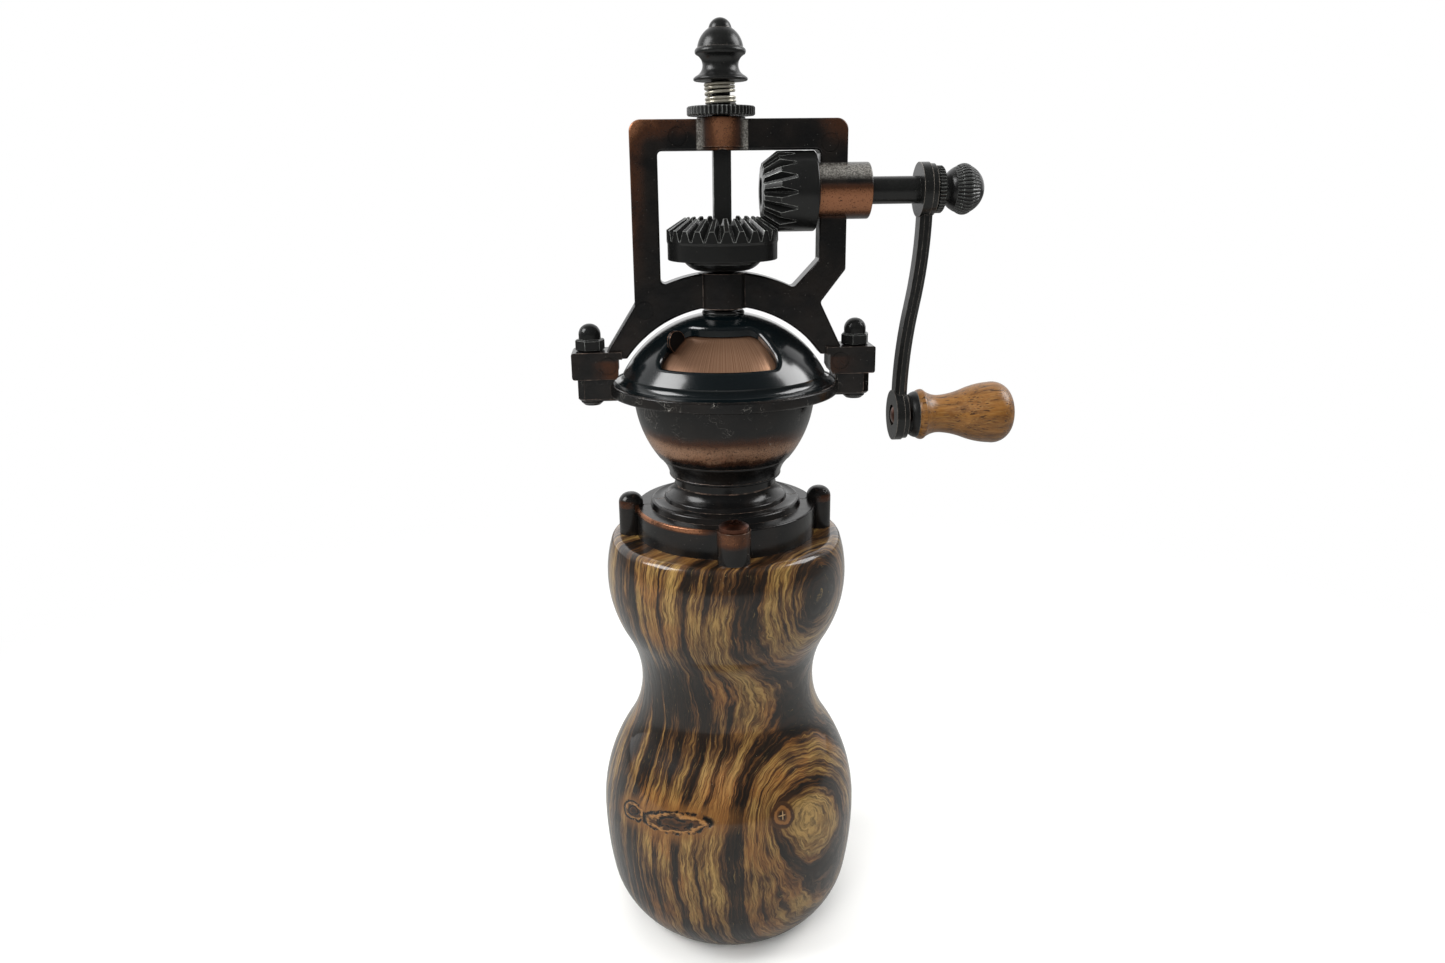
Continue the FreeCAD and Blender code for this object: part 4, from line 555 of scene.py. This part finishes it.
def blackened(name, roughness, wear, tint=PALE_EDGE, thread_above=None, ribs=None):
    """Blackened steel with bright worn edges. Wear says how strong the edges are."""
    finish = Finish(name, {"Specular IOR Level": 0.45})
    grit = finish.noise(1.4, 3.0, 0.5)
    cloud = finish.noise(0.2, 3.0, 0.6)
    edge = finish.product(finish.edges(0.3, 0.015, 0.11),
                          finish.step(finish.noise(0.5, 3.0, 0.6), 0.38, 0.6, 0.3, 1.0), wear)
    colour = finish.mix(cloud, rgb(15, 16, 16), rgb(26, 26, 25))
    colour = finish.mix(edge, colour, tint)
    layers = [(grit, 0.005), (cloud, 0.03)]
    if ribs:
        crest = ribs(finish)
        # painted shade: near black down in the grooves between the ribs
        colour = finish.mix(finish.step(crest, 0.55, 0.1, 0.0, 0.9), colour, rgb(6, 6, 6))
        # painted highlight: a grey line near the crest of each rib
        colour = finish.mix(finish.hump(crest, 0.76, 0.86, 0.1), colour, rgb(92, 94, 92))
        layers.append((crest, RIB_DEPTH))
    if thread_above:
        wave = finish.math("SINE", finish.product(finish.z, math.tau / THREAD_PITCH))
        threaded = finish.step(finish.z, thread_above, thread_above + 0.5)
        layers.append((finish.product(wave, threaded), THREAD_DEPTH))
    colour = finish.specked(colour, PALE_METAL, 0.4, 0.8, 0.03, 0.055)
    finish.use(colour=colour, metal=finish.total(finish.product(edge, 0.5), 0.1),
               roughness=finish.total(finish.product(grit, 0.10), finish.product(edge, 0.05), roughness))
    finish.bump(*layers)
    return finish.material


def black_gloss():
    """Deep black enamel with a trace of teal."""
    finish = Finish("black_gloss", {"Coat Weight": 0.6, "Coat Roughness": 0.12, "Specular IOR Level": 0.4})
    haze = finish.noise(0.08, 3.0)
    colour = finish.mix(haze, rgb(3, 6, 7), rgb(6, 14, 17))
    colour = finish.specked(colour, rgb(150, 150, 140), 0.5, 0.45, 0.025, 0.045)
    finish.use(colour=colour, roughness=finish.between(haze, 0.16, 0.26))
    finish.bump((finish.noise(0.25, 2.0), 0.012))
    return finish.material


def brushed_copper():
    """Fine brush lines that run down from the hub, with painted shade toward the left and a painted shadow
    along the top. The thumb tab outside the dome is blackened.
    """
    finish = Finish("brushed_copper", {"Metallic": 0.75, "Anisotropic": 0.4})
    turn = finish.math("ARCTAN2", finish.y, finish.x)
    lines = finish.noise(2.2, 4.0, 0.7, finish.vector(finish.product(turn, 34.0), 0.0, 0.0))
    colour = finish.mix(finish.step(lines, 0.3, 0.7), rgb(190, 148, 118), rgb(112, 80, 60))
    # painted shade: the copper darkens toward the left
    colour = finish.mix(finish.step(finish.x, 2.0, -16.0, 0.0, 0.75), colour, rgb(92, 66, 50))
    # painted shadow: the copper darkens toward the top, under the window's top edge
    colour = finish.mix(finish.step(finish.z, 181.5, 185.0, 0.0, 0.75), colour, rgb(66, 40, 28))
    outside = finish.step(finish.away(DOME_CENTRE), DOME_RADIUS - 2.4, DOME_RADIUS - 1.6)
    colour = finish.mix(outside, colour, rgb(20, 20, 20))
    colour = finish.worn(colour, rgb(206, 150, 116), 0.6, 0.3)
    finish.use(colour=colour, roughness=finish.between(lines, 0.24, 0.42))
    finish.bump((lines, 0.02))
    return finish.material


def coppered_screw():
    finish = Finish("coppered_screw", {"Metallic": 1.0})
    cloud = finish.noise(0.6, 3.0)
    colour = finish.mix(cloud, rgb(118, 78, 62), rgb(72, 48, 40))
    colour = finish.worn(colour, rgb(200, 150, 124), 0.7, 0.25)
    finish.use(colour=colour, roughness=finish.between(cloud, 0.24, 0.4))
    finish.bump((finish.noise(1.5, 3.0), 0.01))
    return finish.material


def plain_metal(name, light, dark, roughness):
    """Bare or plated steel, faintly cloudy, with turning marks."""
    finish = Finish(name, {"Metallic": 0.7})
    cloud = finish.noise(0.5, 3.0)
    marks = finish.noise(3.0, 2.0, 0.5)
    colour = finish.mix(cloud, light, dark)
    colour = finish.worn(colour, rgb(225, 222, 214), 0.5, 0.2)
    finish.use(colour=colour, roughness=finish.between(marks, roughness, roughness + 0.16))
    finish.bump((marks, 0.012))
    return finish.material


def ceramic():
    finish = Finish("ceramic", {"Coat Weight": 0.2, "Coat Roughness": 0.3})
    cloud = finish.noise(0.4, 3.0)
    grain = finish.noise(2.5, 3.0, 0.6)
    colour = finish.mix(cloud, rgb(232, 228, 218), rgb(212, 206, 192))
    colour = finish.worn(colour, rgb(246, 244, 238), 0.4, 0.25)
    finish.use(colour=colour, roughness=finish.between(grain, 0.38, 0.58))
    finish.bump((grain, 0.02))
    return finish.material


# ------------------------------------------------------------ which finish goes where

def finishes_by_slot():
    return {
        "lacquered_wood": lacquered_wood(),
        "knob_wood": knob_wood(),
        "blackened_steel": blackened("blackened_steel", 0.20, 0.95),
        "blackened_casting": blackened("blackened_casting", 0.24, 0.75, WARM_EDGE),
        "black_gloss": black_gloss(),
        "brushed_copper": brushed_copper(),
        "coppered_screw": coppered_screw(),
        "bright_steel": plain_metal("bright_steel", rgb(205, 203, 192), rgb(150, 146, 132), 0.18),
        "grey_steel": plain_metal("grey_steel", rgb(150, 148, 142), rgb(108, 106, 100), 0.3),
        "ceramic": ceramic(),
    }


def finishes_by_node():
    """Finishes of nodes that differ from the rest of their slot."""
    collar = patina("bronzed_collar", collar_rub)
    return {
        "bowl": patina("bronzed_bowl", bowl_rub, bowl_scratches, RUBBED_COPPER),
        "collar_front": collar,
        "collar_rear": collar,
        # the frame's bosses get a painted highlight in pale metal
        "frame": patina("bronzed_frame", frame_rub, boss_painted_highlight),
        "spindle": blackened("blackened_spindle", 0.2, 0.95, thread_above=THREAD_START),
        "ball_nut": blackened("ribbed_ball", 0.2, 0.7, ribs=ball_ribs),
        "arm_lock_ring": blackened("ribbed_ring", 0.2, 0.7, ribs=ring_ribs),
        "adjust_nut": blackened("ribbed_nut", 0.2, 0.7, ribs=nut_ribs),
        "knob_ferrule": blackened("dark_ferrule", 0.34, 0.5),
    }


def paint_nodes():
    """Gives every carried-over node its finish."""
    by_slot = finishes_by_slot()
    by_node = finishes_by_node()
    for row in frame["record"]["subparts"]:
        finish = by_node.get(row["node"]) or by_slot[row["material_slot"]]
        mesh = frame["nodes"][row["node"]].data
        mesh.materials.clear()
        mesh.materials.append(finish)


# ------------------------------------------------------------ spring

WIRE_RADIUS = 0.42 * MM
COIL_BULGE = 0.15 * MM           # how far the coil stands out past the plain tube that it replaces
COIL_LEAN = -0.35 * MM           # how far its top end has slipped sideways
# How high the wire is at the start and after each turn, as a share of its whole rise
COIL_RISES = (0.0, 0.16, 0.33, 0.66, 0.83, 1.0)
STEPS_PER_TURN = 40
WIRE_SIDES = 10


def coil_path(middle, reach, start, end):
    """The middle line of the wire, from its low end to its high end."""
    turns = len(COIL_RISES) - 1
    path = []
    for place in range(STEPS_PER_TURN * turns + 1):
        whole = min(place // STEPS_PER_TURN, turns - 1)
        share = place / STEPS_PER_TURN - whole
        rise = COIL_RISES[whole] + (COIL_RISES[whole + 1] - COIL_RISES[whole]) * share
        turn = math.tau * place / STEPS_PER_TURN
        path.append(Vector((middle.x + COIL_LEAN * rise + reach * math.cos(turn),
                            middle.y + reach * math.sin(turn),
                            start + (end - start) * rise)))
    return path


def wire_mesh(name, path, middle):
    """A closed round wire along a path that winds round a middle."""
    points, faces = [], []
    for index, point in enumerate(path):
        ahead = path[min(index + 1, len(path) - 1)] - path[max(index - 1, 0)]
        outward = Vector((point.x - middle.x, point.y - middle.y, 0.0)).normalized()
        upward = ahead.cross(outward).normalized()
        for side in range(WIRE_SIDES):
            turn = math.tau * side / WIRE_SIDES
            points.append(point + WIRE_RADIUS * (math.cos(turn) * outward + math.sin(turn) * upward))
    last_ring = len(points) - WIRE_SIDES
    for ring in range(0, last_ring, WIRE_SIDES):
        for side in range(WIRE_SIDES):
            following = (side + 1) % WIRE_SIDES
            faces.append((ring + side, ring + following,
                          ring + WIRE_SIDES + following, ring + WIRE_SIDES + side))
    faces.append(tuple(range(WIRE_SIDES)))
    faces.append(tuple(reversed(range(last_ring, len(points)))))
    mesh = bpy.data.meshes.new(name)
    mesh.from_pydata([tuple(point) for point in points], [], faces)
    mesh.shade_smooth()
    return mesh


def make_spring():
    """The coil under the finial: its end turns lie close together and its middle turn is stretched."""
    low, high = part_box("spring")
    middle = (low + high) / 2
    reach = (high.x - low.x) / 2 - WIRE_RADIUS + COIL_BULGE
    start, end = low.z + WIRE_RADIUS, high.z - WIRE_RADIUS
    mesh = wire_mesh("coiled_spring", coil_path(middle, reach, start, end), middle)
    spring = bpy.data.objects.new("coiled_spring", mesh)
    bpy.context.scene.collection.objects.link(spring)
    mesh.materials.append(plain_metal("spring_wire", rgb(214, 210, 196), rgb(150, 144, 128), 0.16))
    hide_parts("spring")
    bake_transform(spring)


# ------------------------------------------------------------ stage, light and camera

FLOOR_RADIUS = 6.0
FLOOR_FADE = (60.0, 420.0)       # from where to where, in millimetres, the floor fades into white
WORLD_STRENGTH = (0.10, 1.0)     # how bright the world is in front of the object, and behind it
LIGHT_TARGET = (0.0, 0.0, 0.14)
# Each light's name, place, width, power in watts, and whether it shows in reflections
LIGHTS = (
    ("left_softbox", (-0.62, -0.10, 0.62), 0.4, 4.4, True),
    ("right_softbox", (0.62, 0.05, 0.62), 0.4, 3.4, True),
    ("front_fill", (-0.25, -0.9, 0.75), 0.8, 11.0, False),
    ("top_fill", (0.0, -0.10, 1.0), 0.8, 4.0, False),
)
SENSOR_WIDTH = 36.0
FOCAL_LENGTH = 25.66
CAMERA_PLACE = (-0.0223, -0.2831, 0.2245)
# Degrees that the camera looks down, to the right, and leans
CAMERA_DOWN, CAMERA_RIGHT, CAMERA_ROLL = 16.7, 4.35, -0.7


def make_floor():
    """A pale round floor that fades into the white behind it."""
    bpy.ops.mesh.primitive_circle_add(vertices=96, radius=FLOOR_RADIUS, fill_type="NGON", location=(0, 0, 0))
    floor = bpy.context.object
    floor.name = "floor"
    finish = Finish("floor", {"Roughness": 0.7, "Specular IOR Level": 0.1})
    seen = finish.node("LightPath").outputs["Is Camera Ray"]
    finish.use(colour=finish.mix(seen, rgb(150, 150, 148), rgb(240, 240, 238)))
    away = finish.distance(finish.x, finish.y)
    white = finish.node("Emission", {"Color": (1.0, 1.0, 1.0, 1.0), "Strength": 1.0}).outputs[0]
    fade = finish.product(seen, finish.step(away, *FLOOR_FADE))
    both = finish.node("MixShader", {0: fade, 1: finish.shader.outputs[0], 2: white})
    finish.feed(finish.tree.nodes["Material Output"].inputs["Surface"], both.outputs[0])
    floor.data.materials.append(finish.material)


def make_world():
    """White behind and beside the object, darker on the side that it faces."""
    world = bpy.data.worlds.new("studio")
    bpy.context.scene.world = world
    world.use_nodes = True
    nodes = world.node_tree.nodes
    links = world.node_tree.links
    parts = nodes.new("ShaderNodeSeparateXYZ")
    links.new(nodes.new("ShaderNodeTexCoord").outputs["Generated"], parts.inputs[0])
    fade = nodes.new("ShaderNodeMapRange")
    fade.interpolation_type = "SMOOTHSTEP"
    links.new(parts.outputs[1], fade.inputs["Value"])
    fade.inputs["From Min"].default_value = 0.0
    fade.inputs["From Max"].default_value = 0.75
    fade.inputs["To Min"].default_value, fade.inputs["To Max"].default_value = WORLD_STRENGTH
    seen = nodes.new("ShaderNodeMath")
    seen.operation = "MAXIMUM"
    links.new(fade.outputs[0], seen.inputs[0])
    links.new(nodes.new("ShaderNodeLightPath").outputs["Is Camera Ray"], seen.inputs[1])
    background = nodes["Background"]
    links.new(seen.outputs[0], background.inputs["Strength"])
    background.inputs["Color"].default_value = (1.0, 1.0, 1.0, 1.0)


def make_light(name, place, width, power, glossy):
    light = bpy.data.lights.new(name, "AREA")
    light.shape = "RECTANGLE"
    light.size = width
    light.size_y = width
    light.energy = power
    lamp = bpy.data.objects.new(name, light)
    lamp.location = place
    lamp.rotation_euler = (Vector(LIGHT_TARGET) - Vector(place)).to_track_quat("-Z", "Y").to_euler()
    lamp.visible_glossy = glossy
    bpy.context.scene.collection.objects.link(lamp)


def make_camera():
    """The camera stands in front, a little to the left, and looks down at the collar."""
    lens = bpy.data.cameras.new("camera")
    camera = bpy.data.objects.new("camera", lens)
    bpy.context.scene.collection.objects.link(camera)
    lens.sensor_width = SENSOR_WIDTH
    lens.lens = FOCAL_LENGTH
    lens.clip_start = 0.01
    lens.clip_end = 20.0
    aim = Euler((math.radians(90 - CAMERA_DOWN), 0.0, math.radians(-CAMERA_RIGHT))).to_matrix()
    lean = Euler((0.0, 0.0, math.radians(CAMERA_ROLL))).to_matrix()
    camera.rotation_euler = (aim @ lean).to_euler()
    camera.location = CAMERA_PLACE
    bpy.context.scene.camera = camera


def make_studio():
    make_floor()
    make_world()
    for light in LIGHTS:
        make_light(*light)
    scene = bpy.context.scene
    scene.view_settings.view_transform = "Standard"
    scene.view_settings.look = "None"


paint_nodes()
make_spring()
make_studio()
make_camera()
